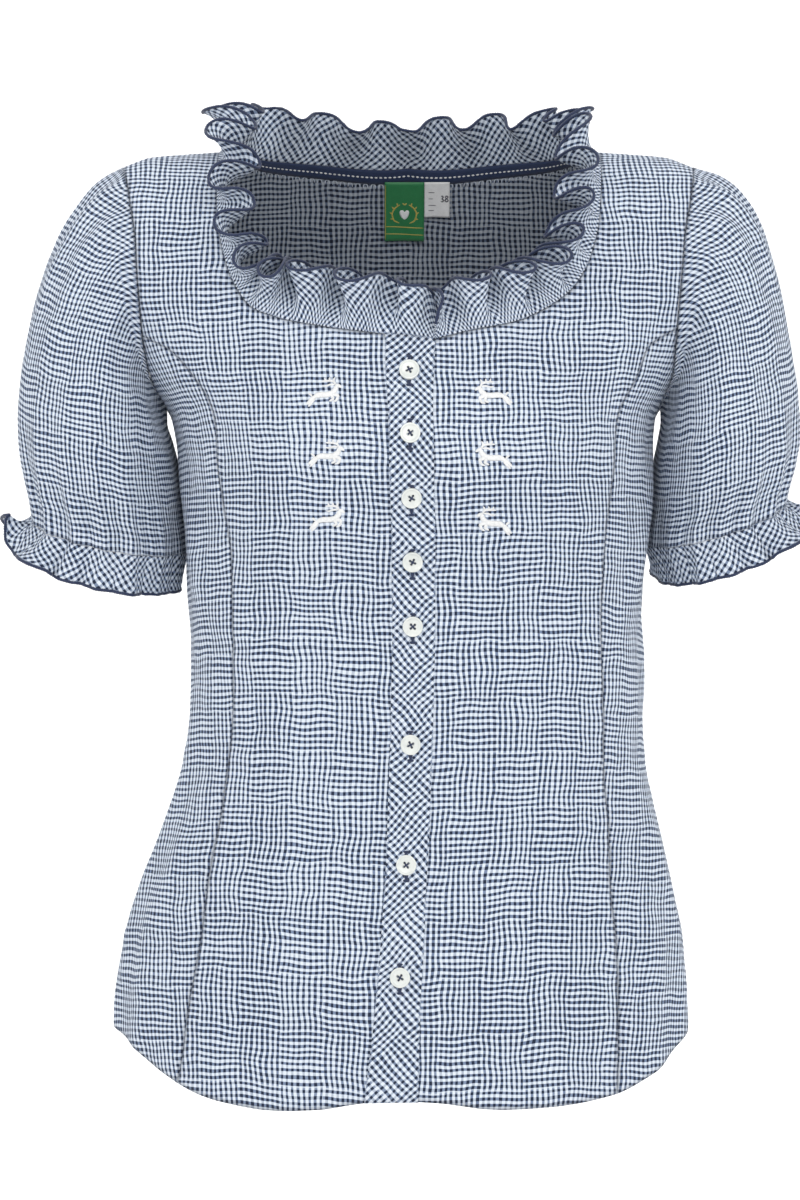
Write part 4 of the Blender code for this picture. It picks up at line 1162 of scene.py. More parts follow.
def sleeve(side):
    """A puff sleeve from the armhole to the cuff seam. Gives its last ring for the frill."""
    data = side_data(side)
    columns = {**data["sleeve"], **SLEEVE_FORM}
    count = len(SLEEVE_FORM["pleat"])
    steps = np.linspace(0, count - 1, SLEEVE_ROWS)
    table_at = {key: smooth(steps, np.arange(count), columns[key]) for key in columns}
    points, normals = armhole_edge(side)
    edge, out, tangents, share = resampled(points, normals, SLEEVE_COUNT, True)
    off = eased(np.cross(tangents, out), 6, True)
    if np.sum(off[:, 0]) * side < 0:
        off = -off
    first = {key: table_at[key][0] for key in table_at}
    clock = np.unwrap(clock_angles(edge, first))
    residue = edge - oval(first, clock)[0]
    top = PLEAT_REACH + (1 - PLEAT_REACH) * np.clip(0.5 + 0.5 * np.cos(clock - PLEAT_TOP), 0, 1)
    pleats = np.cos(HEAD_PLEATS * 2 * math.pi * share) * (1 + PLEAT_UNEVEN * np.sin(3 * clock + 1)) * top
    gathers = np.cos(CUFF_GATHERS * 2 * math.pi * share + GATHER_START)
    gathers = gathers * (1 + PLEAT_UNEVEN * np.sin(2 * clock))
    flatter = 1 - BESIDE_BODY * np.clip(-np.cos(clock), 0, 1) ** 4
    fine = np.cos(FINE_GATHERS * CUFF_GATHERS * 2 * math.pi * share + 2 * np.sin(3 * clock))
    rings = [edge + off * SEAM / 2]
    for i in range(1, SLEEVE_ROWS):
        section = {key: table_at[key][i] for key in table_at}
        ring, middle = oval(section, clock)
        ring = ring + residue * section["keep"]
        outward = unit(ring - middle)
        rise = section["pleat"] * pleats + section["gather"] * (gathers + FINE_SHARE * fine)
        down = np.full(SLEEVE_COUNT, i / SLEEVE_ROWS)
        turning = np.stack([np.cos(clock) * SLEEVE_FOLDS, np.sin(clock) * SLEEVE_FOLDS,
                            down * FOLDS_DOWN], -1)
        soft = SLEEVE_CREASE * lumps(turning, 1.0, 41) * (0.5 + abs(i / SLEEVE_ROWS - 0.45))
        soft = soft + CRINKLE_DEPTH * lumps(ring, CRINKLE_SIZE, 23)
        rise = rise + soft * min(1, i / CREASE_START)
        rings.append(ring + outward * (rise * flatter)[:, None])
    grid = np.stack(rings)
    across = np.roll(grid, -1, 1) - np.roll(grid, 1, 1)
    down = np.gradient(grid, axis=0)
    facing = unit(np.cross(across, down))
    widest = SLEEVE_ROWS // 2
    turn = np.sign(np.sum(facing[widest] * (grid[widest] - grid[widest].mean(0))))
    facing *= turn
    faces = grid_faces(len(grid), grid.shape[1], closed=True)
    if turn < 0:
        faces = faces[:, ::-1]
    girth = np.linalg.norm(np.roll(grid[widest], -1, 0) - grid[widest], axis=-1)
    along = np.concatenate([[0], np.cumsum(girth)[:-1]])
    lengths = np.linalg.norm(np.diff(grid, axis=0), axis=-1)[::-1]
    from_cuff = np.concatenate([np.zeros((1, len(along))), np.cumsum(lengths, axis=0)])[::-1]
    flat = np.stack([np.tile(along, (len(grid), 1)), from_cuff], -1)
    name = f"sleeve_{data['name']}"
    flat = flat.reshape(-1, 2)
    piece = ring_shell(f"{name}_cloth", grid, facing, faces, flat, float(girth.sum()), CLOTH,
                       "seersucker check")
    declare(piece, name, flat, wrapped(faces, len(along)))
    return grid[-1]


def wrapped(faces, columns):
    """The faces that don't cross the line where a ring's cloth coordinates start again."""
    column = faces % columns
    return faces[np.ptp(column, axis=1) <= 1]


def ring_shell(name, grid, facing, faces, flat, around_, thick, finish):
    """A closed sheet that runs round a tube. Its cloth coordinates go on across the closing line."""
    columns = grid.shape[1]
    down = np.linalg.norm(np.diff(grid, axis=0), axis=-1)
    down = np.concatenate([np.zeros((1, columns)), np.cumsum(down, axis=0)])
    # The distance from either rim, by which the check material paints shade along the armhole and cuff seams.
    edge = np.minimum(down, down[-1] - down).ravel()
    piece = shell(name, grid.reshape(-1, 3), facing.reshape(-1, 3), faces, flat, thick,
                  bpy.data.materials[finish], edge)
    mesh = piece.data
    layer = mesh.uv_layers["cloth"]
    values = np.empty(len(mesh.loops) * 2, np.float32)
    layer.data.foreach_get("uv", values)
    values = values.reshape(-1, 2)
    corners = np.empty(len(mesh.loops), np.int32)
    mesh.loops.foreach_get("vertex_index", corners)
    column = corners.reshape(-1, 4) % columns
    crossing = np.ptp(column, axis=1) > 1
    low = crossing[:, None] & (column == 0)
    values = values.reshape(-1, 4, 2)
    values[..., 0] += low * around_
    layer.data.foreach_set("uv", values.ravel())
    return piece


def cuff_frill(side, ring):
    """The bias frill below the cuff's gathers."""
    name = side_data(side)["name"]
    axis = np.linalg.svd(ring - ring.mean(0))[2][2]
    axis = axis * np.sign(-axis[2])
    closed = np.concatenate([ring, ring[:1]])
    normal = unit(closed - closed[:-1].mean(0))
    base, _, tangents, share = resampled(ring, normal[:-1], CUFF_FRILL_COUNT, True)
    tangents = eased(tangents, 4, True)
    out = unit(np.cross(tangents, axis))
    out *= np.sign(np.sum(out * (base - base.mean(0))))
    away = np.broadcast_to(axis, base.shape)
    ruffle(f"cuff_frill_{name}", base + away * SEAM, out, away, tangents, share, CUFF_LOBES,
           CUFF_FRILL_LEVELS, ring=True)


def neck_frill():
    points, normals = neckline_edge()
    base, out, tangents, share = resampled(points, normals, NECK_FRILL_COUNT, False)
    out, tangents = eased(out, 5, False), eased(tangents, 5, False)
    away = unit(np.cross(tangents, out))
    if away[len(away) // 2][2] < 0:
        away = -away
    run = way_along(base)
    from_end = np.clip(np.minimum(run, run[-1] - run) / FRILL_END_ROUND, 0, 1)
    taper = 0.3 + 0.7 * np.sqrt(1 - (1 - from_end) ** 2)
    ruffle("neck_frill", base + away * SEAM, out, away, tangents, share, NECK_LOBES, NECK_FRILL_LEVELS,
           taper=taper)


def placket_grid():
    """Places across the front strip, from its right edge to its left one."""
    right, middle, left = seams(-1)["edge"], middle_line(), seams(1)["edge"]
    share = np.linspace(0, 1, 7)[None, :, None]
    near = right[:, None] * (1 - share) + middle[:, None] * share
    far = middle[:, None] * (1 - share) + left[:, None] * share
    return np.concatenate([near, far[:, 1:]], 1)


def placket():
    """The bias strip over both fronts' edges, folded under at its own edges."""
    places = placket_grid()
    points = torso(places[..., 0], places[..., 1])
    normals = torso_normal(places[..., 0], places[..., 1])
    share = np.linspace(-1, 1, places.shape[1])
    rise = LAID_ON + PLACKET_THICK * (1 - np.abs(share) ** 8 * 0.6)
    points = points + normals * rise[None, :, None]
    across = np.linalg.norm(np.diff(points, axis=1), axis=-1)
    across = np.concatenate([np.zeros((len(points), 1)), np.cumsum(across, axis=1)], 1)
    across = across - across[:, len(share) // 2][:, None]
    up = way_along(points[:, len(share) // 2])
    flat = np.stack([across, np.tile(up[:, None], (1, len(share)))], -1).reshape(-1, 2)
    faces = grid_faces(*places.shape[:2])
    outer, facing = points.reshape(-1, 3), normals.reshape(-1, 3)
    edge = rim_distance(outer, rim_edges(faces))
    piece = shell("placket_cloth", outer, facing, faces, flat, PLACKET_THICK,
                  bpy.data.materials["bias check"], edge)
    declare(piece, "placket", flat, faces)


def smooth_or_straight(at, knots, values):
    """A smooth line through three or more knots, a straight one through two."""
    if len(knots) < 3:
        return np.interp(at, knots, values)
    return smooth(at, knots, values)


def satin(name, strokes, put, height, finish):
    """Raised embroidery. Each stroke is a table of x, y and width, and put gives the points and
    normals of the cloth under such local places."""
    points, faces = [], []
    for stroke in strokes:
        knots = np.stack([stroke["x"], stroke["y"]], -1)
        way = way_along(knots)
        count = max(4, int(way[-1] / SATIN_STEP) + 1)
        at = np.linspace(0, way[-1], count)
        line = np.stack([smooth_or_straight(at, way, knots[:, k]) for k in range(2)], -1)
        tip = np.clip(1 - np.abs(2 * at / way[-1] - 1) ** SATIN_TIP, 0.15, 1) ** 0.5
        half = smooth_or_straight(at, way, stroke["width"]) / 2 * tip
        ahead = unit(np.gradient(line, axis=0))
        beside = np.stack([-ahead[:, 1], ahead[:, 0]], -1)
        local = line[:, None] + beside[:, None] * half[:, None, None] * SATIN_SECTION["across"][:, None]
        base, normals = put(local[..., 0], local[..., 1])
        rise = SATIN_SECTION["up"][None, :] * height * tip[:, None]
        start = sum(len(part) for part in points)
        points.append((base + normals * rise[..., None]).reshape(-1, 3))
        across = len(SATIN_SECTION["up"])
        faces.extend(grid_faces(count, across, start, closed=True).tolist())
        faces.append([start + k for k in range(across)])
        faces.append([start + (count - 1) * across + k for k in range(across)][::-1])
    mesh = bpy.data.meshes.new(name)
    mesh.from_pydata(np.concatenate(points).tolist(), [], faces)
    fix_normals(mesh)
    piece = piece_from(name, mesh, bpy.data.materials[finish])
    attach(piece, "root")


def cloth_face(x, z, behind=False, rise=0.0):
    """Points and normals of the cloth's outer face where x, z is seen from the front."""
    places = place(np.asarray(x, float), np.asarray(z, float), behind)
    normals = torso_normal(places[..., 0], places[..., 1])
    return torso(places[..., 0], places[..., 1]) + normals * rise, normals


def deer():
    """Six leaping deer in white satin stitch, three on each front, facing the buttons."""
    trims = bpy.context.scene.blouse_trims
    for number, (middle_x, middle_z, turn) in enumerate(zip(DEER_AT["x"], DEER_AT["z"], DEER_TURN), 1):
        facing = -np.sign(middle_x)

        def put(x, y):
            across, up = turned(np.stack([x, y], -1) * trims.deer_size, turn).T
            return cloth_face(middle_x + facing * across.T, middle_z + up.T)

        satin(f"deer_{number}", DEER, put, trims.satin_height, "white_thread")


def button_model():
    """One turned button with a raised rim, a dished face and four holes, face up at the origin."""
    trims = bpy.context.scene.blouse_trims
    thick = trims.button_thickness
    bpy.ops.object.select_all(action="DESELECT")
    bpy.ops.mesh.primitive_cylinder_add(vertices=48, radius=trims.button_size / 2, depth=thick,
                                        location=(0, 0, thick / 2))
    button = bpy.context.object
    bpy.ops.object.mode_set(mode="EDIT")
    front = ((trims.button_rim * 0.6, 0), (trims.button_rim * 0.4, -trims.button_dish),
             (trims.button_rim, -trims.button_dish / 4))
    for facing, rims in ((1, front), (-1, ((trims.button_rim / 2, 0.1 * MM),))):
        bpy.ops.mesh.select_all(action="DESELECT")
        build = bmesh.from_edit_mesh(button.data)
        for face in build.faces:
            face.select_set(face.normal.z * facing > 0.9)
        bmesh.update_edit_mesh(button.data)
        for thickness, push in rims:
            bpy.ops.mesh.inset(thickness=thickness)
            bpy.ops.transform.translate(value=(0, 0, push))
    bpy.ops.object.mode_set(mode="OBJECT")
    bpy.ops.object.transform_apply(location=True, rotation=True, scale=True)
    for x in (-0.5, 0.5):
        for y in (-0.5, 0.5):
            at = (x * trims.hole_apart, y * trims.hole_apart, thick / 2)
            bpy.ops.mesh.primitive_cylinder_add(vertices=20, radius=trims.hole_size / 2, depth=2 * thick,
                                                location=at)
            drill = bpy.context.object
            cut = button.modifiers.new("hole", "BOOLEAN")
            cut.object = drill
            cut.operation = "DIFFERENCE"
            bpy.context.view_layer.objects.active = button
            bpy.ops.object.modifier_apply(modifier="hole")
            bpy.data.objects.remove(drill)
    soften = button.modifiers.new("soften", "BEVEL")
    soften.width = BUTTON_BEVEL
    soften.segments = 3
    soften.limit_method = "ANGLE"
    soften.angle_limit = math.radians(35)
    bpy.ops.object.modifier_apply(modifier="soften")
    bpy.ops.object.select_all(action="DESELECT")
    button.select_set(True)
    bpy.ops.object.shade_smooth_by_angle(angle=math.radians(32))
    return button


def buttons():
    """Eight copies of the button on the front strip, each with its thread and its buttonhole."""
    trims = bpy.context.scene.blouse_trims
    model = button_model()
    model.data.materials.append(bpy.data.materials["pearl"])
    reach = trims.hole_apart / 2
    cross = [{"x": np.array((-reach, reach)), "y": np.array((-slope * reach, slope * reach)),
              "width": np.full(2, trims.hole_size * 0.8)} for slope in (-1, 1)]
    for number in range(1, len(BUTTON_HEIGHTS) + 1):
        node = bpy.data.objects[f"button_{number}"]
        corners = np.array([node.matrix_world @ vertex.co for vertex in node.data.vertices])
        middle = corners.mean(0)
        normal = np.linalg.svd(corners - middle)[2][2]
        normal = -normal * np.sign(normal[1])
        across = unit(np.cross((0, 0, 1), -normal))
        up = np.cross(normal, across)
        seat = middle + normal * ((corners - middle) @ normal).min()
        turn = BUTTON_TURN * math.sin(5 * number)
        across, up = (across * math.cos(turn) + up * math.sin(turn),
                      up * math.cos(turn) - across * math.sin(turn))
        mesh = model.data.copy()
        mesh.transform(Matrix([[*row, at] for row, at in zip(np.stack([across, up, normal], -1), seat)]
                              + [[0, 0, 0, 1]]))
        piece = bpy.data.objects.new(f"button_{number}_pearl", mesh)
        bpy.context.collection.objects.link(piece)
        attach(piece, "root")
        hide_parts(f"button_{number}")

        def on_button(x, y):
            level = trims.button_thickness - 1.3 * trims.button_dish
            points = seat + across * x[..., None] + up * y[..., None] + normal * level
            return points, np.broadcast_to(normal, points.shape)

        satin(f"button_{number}_thread", cross, on_button, trims.hole_size * 0.6, "navy_thread")

        def on_strip(x, y):
            return cloth_face(middle[0] + x, middle[2] + y, rise=LAID_ON + PLACKET_THICK)

        satin(f"buttonhole_{number}", BUTTONHOLE, on_strip, trims.satin_height, "navy_thread")
    bpy.data.objects.remove(model)


def down_the_back(places, ways):
    """Places at given ways down the cloth below a line on the back."""
    drop = np.linspace(-2 * MM, 60 * MM, 125)
    climbs = places[None, :, 1] - drop[:, None]
    turns = np.broadcast_to(places[None, :, 0], climbs.shape)
    steps = np.linalg.norm(np.diff(torso(turns, climbs, False), axis=0), axis=-1)
    run = np.concatenate([np.zeros((1, len(places))), np.cumsum(steps, axis=0)])
    run = run - np.array([np.interp(0, drop, run[:, i]) for i in range(len(places))])
    found = np.stack([np.interp(ways, run[:, i], climbs[:, i]) for i in range(len(places))], 1)
    return np.stack([np.broadcast_to(places[None, :, 0], found.shape), found], -1)


def inner_face(places, gap):
    """Points and normals of the cloth's wrong side, a gap away from it."""
    normals = -torso_normal(places[..., 0], places[..., 1])
    return torso(places[..., 0], places[..., 1]) + normals * (CLOTH + gap), normals


def laid_sheet(name, node, points, normals, thick, finish):
    """A small sheet laid on the cloth from a grid of its outer points."""
    across, up = np.gradient(points, axis=1), np.gradient(points, axis=0)
    faces = grid_faces(*points.shape[:2])
    if np.sum(np.cross(across, up) * normals) < 0:
        faces = faces[:, ::-1]
    along = way_along(points[len(points) // 2])
    down = way_along(points[:, points.shape[1] // 2])
    flat = np.stack(np.meshgrid(along, down), -1).reshape(-1, 2)
    piece = shell(name, points.reshape(-1, 3), normals.reshape(-1, 3), faces, flat, thick,
                  bpy.data.materials[finish])
    declare(piece, node, flat, faces)


def neck_tape():
    """The navy tape over the back neck seam, with its white running stitches and the stitching below."""
    line = back_neck_line()[::-1]
    line = line[TAPE_END:len(line) - TAPE_END]
    trims = bpy.context.scene.blouse_trims
    ways = np.linspace(-TAPE_OVER, trims.tape_width - TAPE_OVER, 5)
    places = down_the_back(line, ways)
    points, normals = inner_face(places, TAPE_THICK + 0.1 * MM)
    laid_sheet("neck_tape_cloth", "neck_tape", points, normals, TAPE_THICK,
               "navy_tape_cloth")
    middle = down_the_back(line, np.array((0, 5, 10)) * MM)
    run = way_along(torso(middle[1, :, 0], middle[1, :, 1], False))

    def put(gap):
        def at(x, y):
            turns = np.interp(x, run, middle[1, :, 0])
            climbs = np.array([np.interp(x, run, row) for row in middle[..., 1]])
            slope = (climbs[2] - climbs[0]) / (10 * MM)
            return inner_face(np.stack([turns, climbs[0] + slope * y], -1), gap)
        return at

    dashes = []
    for start in np.arange(2 * MM, run[-1] - 3 * MM, trims.stitch_pitch):
        dashes.append({"x": np.array((start, start + trims.stitch_length)),
                       "y": np.full(2, trims.tape_width * 0.42), "width": np.full(2, trims.stitch_width)})
    satin("tape_stitches", dashes, put(TAPE_THICK + 0.05 * MM), 0.3 * MM, "white_thread")
    loops = []
    low = trims.tape_width - TAPE_OVER
    for start in np.arange(3 * MM, run[-1] - 6 * MM, LOOP_PITCH):
        x = start + LOOP["x"]
        loops.append({"x": x, "y": low + LOOP["y"], "width": LOOP["width"]})
    satin("neck_seam_stitches", loops, put(0.05 * MM), 0.25 * MM, "grey_thread")


def label(node, corners, finish, strokes):
    """A woven label that hangs from the tape, with raised marks."""
    (left, low), (right, top) = corners
    middle = np.array(((left + right) / 2, (low + top) / 2))

    def face(x, z, gap=0.0):
        places = place(x, z, True)
        hang = (top - z) / (top - low)
        normals = -torso_normal(places[..., 0], places[..., 1])
        lift = CLOTH + LABEL_THICK + LABEL_OFF * (0.35 + hang**2) + gap
        wave = LABEL_OFF * 0.4 * hang * np.sin((x - left) * 260 + z * 90)
        places = torso(places[..., 0], places[..., 1], False)
        return places + normals * (lift + wave + LABEL_CLEAR)[..., None], normals

    x, z = np.meshgrid(np.linspace(left, right, 15), np.linspace(low, top, 19))
    points, normals = face(x, z)
    laid_sheet(f"{node}_cloth", node, points, normals, LABEL_THICK, finish)

    def put(x, y):
        return face(middle[0] + x, middle[1] + y)

    for number, (thread_, rows) in enumerate(strokes, 1):
        satin(f"{node}_marks_{number}", rows, put, 0.2 * MM, thread_)


def labels():
    """The green label with a heart between gold sprigs, and the white one with the size."""
    label("neck_label", NECK_LABEL, "green_satin",
          (("gold_thread", GOLD_LINES + GOLD_SPRIGS), ("white_thread", HEART)))
    label("size_label", SIZE_LABEL, "white_satin", (("print", SIZE_MARKS),))


def stage():
    """A pale floor that runs up into a pale backdrop, soft lights and the camera."""
    settings = bpy.context.scene.blouse_stage
    floor = settings.floor_height
    profile = [(-6, floor), (2.2, floor)]
    for k in range(1, 17):
        angle = k / 16 * QUARTER
        profile.append((2.2 + 2 * math.sin(angle), floor + 2 - 2 * math.cos(angle)))
    profile.append((4.2, floor + 8))
    points = [(x, y, z) for y, z in profile for x in (-9, 9)]
    faces = [(2 * i, 2 * i + 1, 2 * i + 3, 2 * i + 2) for i in range(len(profile) - 1)]
    mesh = bpy.data.meshes.new("backdrop")
    mesh.from_pydata(points, [], faces)
    backdrop = piece_from("backdrop", mesh, bpy.data.materials["paper"])
    world = bpy.data.worlds.new("soft daylight")
    bpy.context.scene.world = world
    world.use_nodes = True
    world.node_tree.nodes["Background"].inputs["Color"].default_value = (1, 1, 1, 1)
    world.node_tree.nodes["Background"].inputs["Strength"].default_value = settings.daylight
    for name, place_, size, power in (
        ("front_light", (0.5, -3.2, 1.2), 2.4, 40),
        ("left_light", (-2.6, -1.6, 0.9), 1.8, 24),
        ("right_light", (2.7, -1.2, 0.4), 1.8, 16),
        ("top_light", (0, 0.3, 3), 2.2, 22),
        ("backdrop_light", (0, 1.4, 1.6), 2.4, 60),
    ):
        light = bpy.data.lights.new(name, "AREA")
        light.shape = "DISK"
        light.size = size
        light.energy = power
        lamp = bpy.data.objects.new(name, light)
        bpy.context.collection.objects.link(lamp)
        lamp.location = place_
        target = BACKDROP_TARGET if name == "backdrop_light" else BLOUSE_MIDDLE
        aim = Vector(target) - Vector(place_)
        lamp.rotation_euler = aim.to_track_quat("-Z", "Y").to_euler()
    camera = bpy.data.cameras.new("camera")
    camera.sensor_fit = "VERTICAL"
    camera.sensor_height = 24
    camera.lens = camera.sensor_height * settings.distance / settings.frame_height
    camera.clip_end = 50
    seen_from = bpy.data.objects.new("camera", camera)
    bpy.context.collection.objects.link(seen_from)
    target = Vector((-5.2 * MM, 0, -289 * MM))
    lift = settings.elevation
    seen_from.location = target + Vector((0, -math.cos(lift), math.sin(lift))) * settings.distance
    seen_from.rotation_euler = (target - seen_from.location).to_track_quat("-Z", "Y").to_euler()
    bpy.context.scene.camera = seen_from
    bpy.context.scene.view_settings.view_transform = "Standard"


class Nodes:
    """Short names for building a material's nodes."""

    def __init__(self, name, roughness):
        self.material = bpy.data.materials.new(name)
        self.material.use_nodes = True
        self.tree = self.material.node_tree
        self.shader = self.tree.nodes["Principled BSDF"]
        self.shader.inputs["Roughness"].default_value = roughness

    def socket(self, value, target):
        if isinstance(value, bpy.types.NodeSocket):
            self.tree.links.new(value, target)
        elif value is not None:
            target.default_value = value

    def math(self, kind, a, b=None, c=None, clamp=False):
        node = self.tree.nodes.new("ShaderNodeMath")
        node.operation = kind
        node.use_clamp = clamp
        for value, target in zip((a, b, c), node.inputs):
            self.socket(value, target)
        return node.outputs[0]

    def blend(self, share, a, b):
        """Colour a at 0 and b at 1."""
        node = self.tree.nodes.new("ShaderNodeMix")
        node.data_type = "RGBA"
        self.socket(share, node.inputs[0])
        for value, target in ((a, node.inputs[6]), (b, node.inputs[7])):
            self.socket((*value, 1) if isinstance(value, tuple) and len(value) == 3 else value, target)
        return node.outputs[2]

    def between(self, share, a, b):
        """Number a at 0 and b at 1."""
        node = self.tree.nodes.new("ShaderNodeMix")
        self.socket(share, node.inputs[0])
        self.socket(a, node.inputs[2])
        self.socket(b, node.inputs[3])
        return node.outputs[0]

    def ramp(self, value, low, high):
        """0 below the low value, 1 above the high one, with a soft step between."""
        node = self.tree.nodes.new("ShaderNodeMapRange")
        node.interpolation_type = "SMOOTHSTEP"
        self.socket(value, node.inputs[0])
        node.inputs[1].default_value = low
        node.inputs[2].default_value = high
        return node.outputs[0]

    def uv(self):
        node = self.tree.nodes.new("ShaderNodeUVMap")
        node.uv_map = "cloth"
        return node.outputs[0]

    def turned(self, vector, degrees=0.0, scale=(1, 1, 1)):
        node = self.tree.nodes.new("ShaderNodeMapping")
        self.socket(vector, node.inputs[0])
        node.inputs["Rotation"].default_value = (0, 0, math.radians(degrees))
        node.inputs["Scale"].default_value = scale
        return node.outputs[0]

    def noise(self, vector, scale, detail=2.0, rough=0.5):
        node = self.tree.nodes.new("ShaderNodeTexNoise")
        node.noise_dimensions = "3D"
        self.socket(vector, node.inputs["Vector"])
        node.inputs["Scale"].default_value = scale
        node.inputs["Detail"].default_value = detail
        node.inputs["Roughness"].default_value = rough
        return node.outputs["Fac"], node.outputs["Color"]

    def split(self, vector):
        node = self.tree.nodes.new("ShaderNodeSeparateXYZ")
        self.socket(vector, node.inputs[0])
        return node.outputs

    def vector(self, kind, a, b=None, scale=None):
        node = self.tree.nodes.new("ShaderNodeVectorMath")
        node.operation = kind
        self.socket(a, node.inputs[0])
        if b is not None:
            self.socket(b, node.inputs[1])
        if scale is not None:
            self.socket(scale, node.inputs["Scale"])
        return node.outputs[0]

    def random(self, value):
        node = self.tree.nodes.new("ShaderNodeTexWhiteNoise")
        node.noise_dimensions = "1D"
        self.socket(value, node.inputs["W"])
        return node.outputs["Value"]

    def bump(self, height, distance, strength=1.0, below=None):
        node = self.tree.nodes.new("ShaderNodeBump")
        node.inputs["Strength"].default_value = strength
        node.inputs["Distance"].default_value = distance
        self.socket(height, node.inputs["Height"])
        if below is not None:
            self.socket(below, node.inputs["Normal"])
        return node.outputs[0]

    def attribute(self, name):
        node = self.tree.nodes.new("ShaderNodeAttribute")
        node.attribute_name = name
        return node.outputs["Fac"]

    def finish(self, colour=None, normal=None):
        if colour is not None:
            self.socket(colour, self.shader.inputs["Base Color"])
        if normal is not None:
            self.socket(normal, self.shader.inputs["Normal"])
        return self.material


def check_cloth(name, turn, settings):
    """Crinkled check woven from navy and white threads in a basket layout, where blocks of some eight
    checks let the cross threads and the up threads show in turn."""
    n = Nodes(name, 0.88)
    flat = n.uv()
    _, drift = n.noise(flat, 34, 1.5)
    _, drift_small = n.noise(flat, 95, 1.0)
    sway = n.vector("SCALE", n.vector("SUBTRACT", drift, (0.5, 0.5, 0.5)), scale=settings.grain_drift)
    sway_small = n.vector("SCALE", n.vector("SUBTRACT", drift_small, (0.5, 0.5, 0.5)),
                          scale=settings.grain_drift * SMALL_SWAY)
    moved = n.turned(n.vector("ADD", n.vector("ADD", flat, sway), sway_small), turn)
    x, y, _ = n.split(moved)
    across = n.math("DIVIDE", x, settings.check_width)
    up = n.math("DIVIDE", y, settings.check_height)
    up_dark, cross_dark = stripe(n, across), stripe(n, up)
    jitter = n.math("MULTIPLY", n.math("SUBTRACT", n.random(n.math("FLOOR", up)), 0.5), 0.5)
    column = n.math("FLOOR", n.math("DIVIDE", n.math("ADD", across, jitter), settings.block_width))
    row = n.math("FLOOR", n.math("DIVIDE", up, settings.block_height))
    even = n.math("MODULO", n.math("ABSOLUTE", n.math("ADD", column, row)), 2.0)
    share = n.between(even, 1 - settings.basket_lead, settings.basket_lead)
    cross_part = n.math("MULTIPLY", cross_dark, share)
    up_part = n.math("MULTIPLY", up_dark, n.math("SUBTRACT", 1.0, share))
    dark = n.math("ADD", cross_part, up_part)
    return n, flat, moved, dark, across, up


def stripe(n, lane):
    """How dark a set of threads is, with each stripe a little different in width and depth."""
    number = n.math("FLOOR", lane)
    chance = n.random(number)
    middle = n.math("ABSOLUTE", n.math("SUBTRACT", n.math("SUBTRACT", lane, number), 0.5))
    half = n.math("ADD", STRIPE_HALF, n.math("MULTIPLY", chance, STRIPE_SPREAD))
    inside = n.math("DIVIDE", n.math("SUBTRACT", half, middle), STRIPE_SOFT)
    soft = n.math("ADD", inside, 0.5, clamp=True)
    paler = n.math("MULTIPLY", n.random(n.math("ADD", number, 7.3)), STRIPE_PALER)
    depth = n.math("SUBTRACT", 1.0, paler)
    return n.math("MULTIPLY", soft, depth)


def finish_cloth(n, flat, moved, dark, across, up, settings, edge, tone):
    """Colours of the woven check, its threads and its crinkle, the pressed-in seams, and painted shade that
    darkens the cloth along the seams and on the blouse's inside.
    """
    mottle, _ = n.noise(flat, 420, 2.0)
    slub, _ = n.noise(n.turned(flat, 0, (1, 0.16, 1)), 700, 1.0)
    dark = n.math("ADD", dark, n.math("MULTIPLY", n.math("SUBTRACT", mottle, 0.5), MOTTLE))
    dark = n.math("ADD", dark, n.math("MULTIPLY", n.math("SUBTRACT", slub, 0.5), SLUB), clamp=True)
    # A tone below one darkens all three colours: painted shade for the blouse's inside.
    light, between, deep = (tuple(c * tone for c in colour)
                            for colour in (settings.light_thread, settings.middle_tone, settings.dark_thread))
    middle = n.blend(n.ramp(dark, *LIGHT_RAMP), light, between)
    colour = n.blend(n.ramp(dark, *DARK_RAMP), middle, deep)
    thread_x = n.math("SINE", n.math("MULTIPLY", across, 2 * math.pi * settings.threads_in_check))
    thread_y = n.math("SINE", n.math("MULTIPLY", up, 2 * math.pi * settings.threads_in_check))
    weave = n.math("MULTIPLY", thread_x, thread_y)
    puff, _ = n.noise(n.turned(flat, 0, (1, 1.7, 1)), 130, 2.5, rough=0.6)
    soft, _ = n.noise(flat, 45, 2.0)
    normal = n.bump(soft, 0.0016, 0.8)
    normal = n.bump(puff, 0.0011, 0.9, below=normal)
    normal = n.bump(weave, 0.00005, 0.5, below=normal)
    if edge:
        near = n.attribute("rim")
        # Painted shade: within about 1.6 mm of a seam the colour is mixed towards the navy, for the shade in
        # the seam's groove.
        shade = n.ramp(near, 0.0, 0.0016)
        colour = n.blend(shade, n.blend(0.45, colour, deep), colour)
        normal = n.bump(n.ramp(near, 0.0, 0.003), 0.0008, 0.9, below=normal)
    n.shader.inputs["Sheen Weight"].default_value = 0.05
    n.shader.inputs["Sheen Roughness"].default_value = 0.5
    return n.finish(colour, normal)


def thread(name, colour, roughness=0.6, scale=900):
    """Spun thread: fine twisted strands and a slight sheen."""
    n = Nodes(name, roughness)
    place_ = n.tree.nodes.new("ShaderNodeTexCoord").outputs["Object"]
    fine, _ = n.noise(place_, scale, 3.0)
    broad, _ = n.noise(place_, scale / 8, 2.0)
    tone = n.math("ADD", n.math("MULTIPLY", fine, 0.7), n.math("MULTIPLY", broad, 0.3))
    colour = n.blend(tone, tuple(c * 0.62 for c in colour), tuple(min(1.0, c * 1.3) for c in colour))
    n.shader.inputs["Sheen Weight"].default_value = 0.2
    return n.finish(colour, n.bump(fine, 0.0002, 0.8))


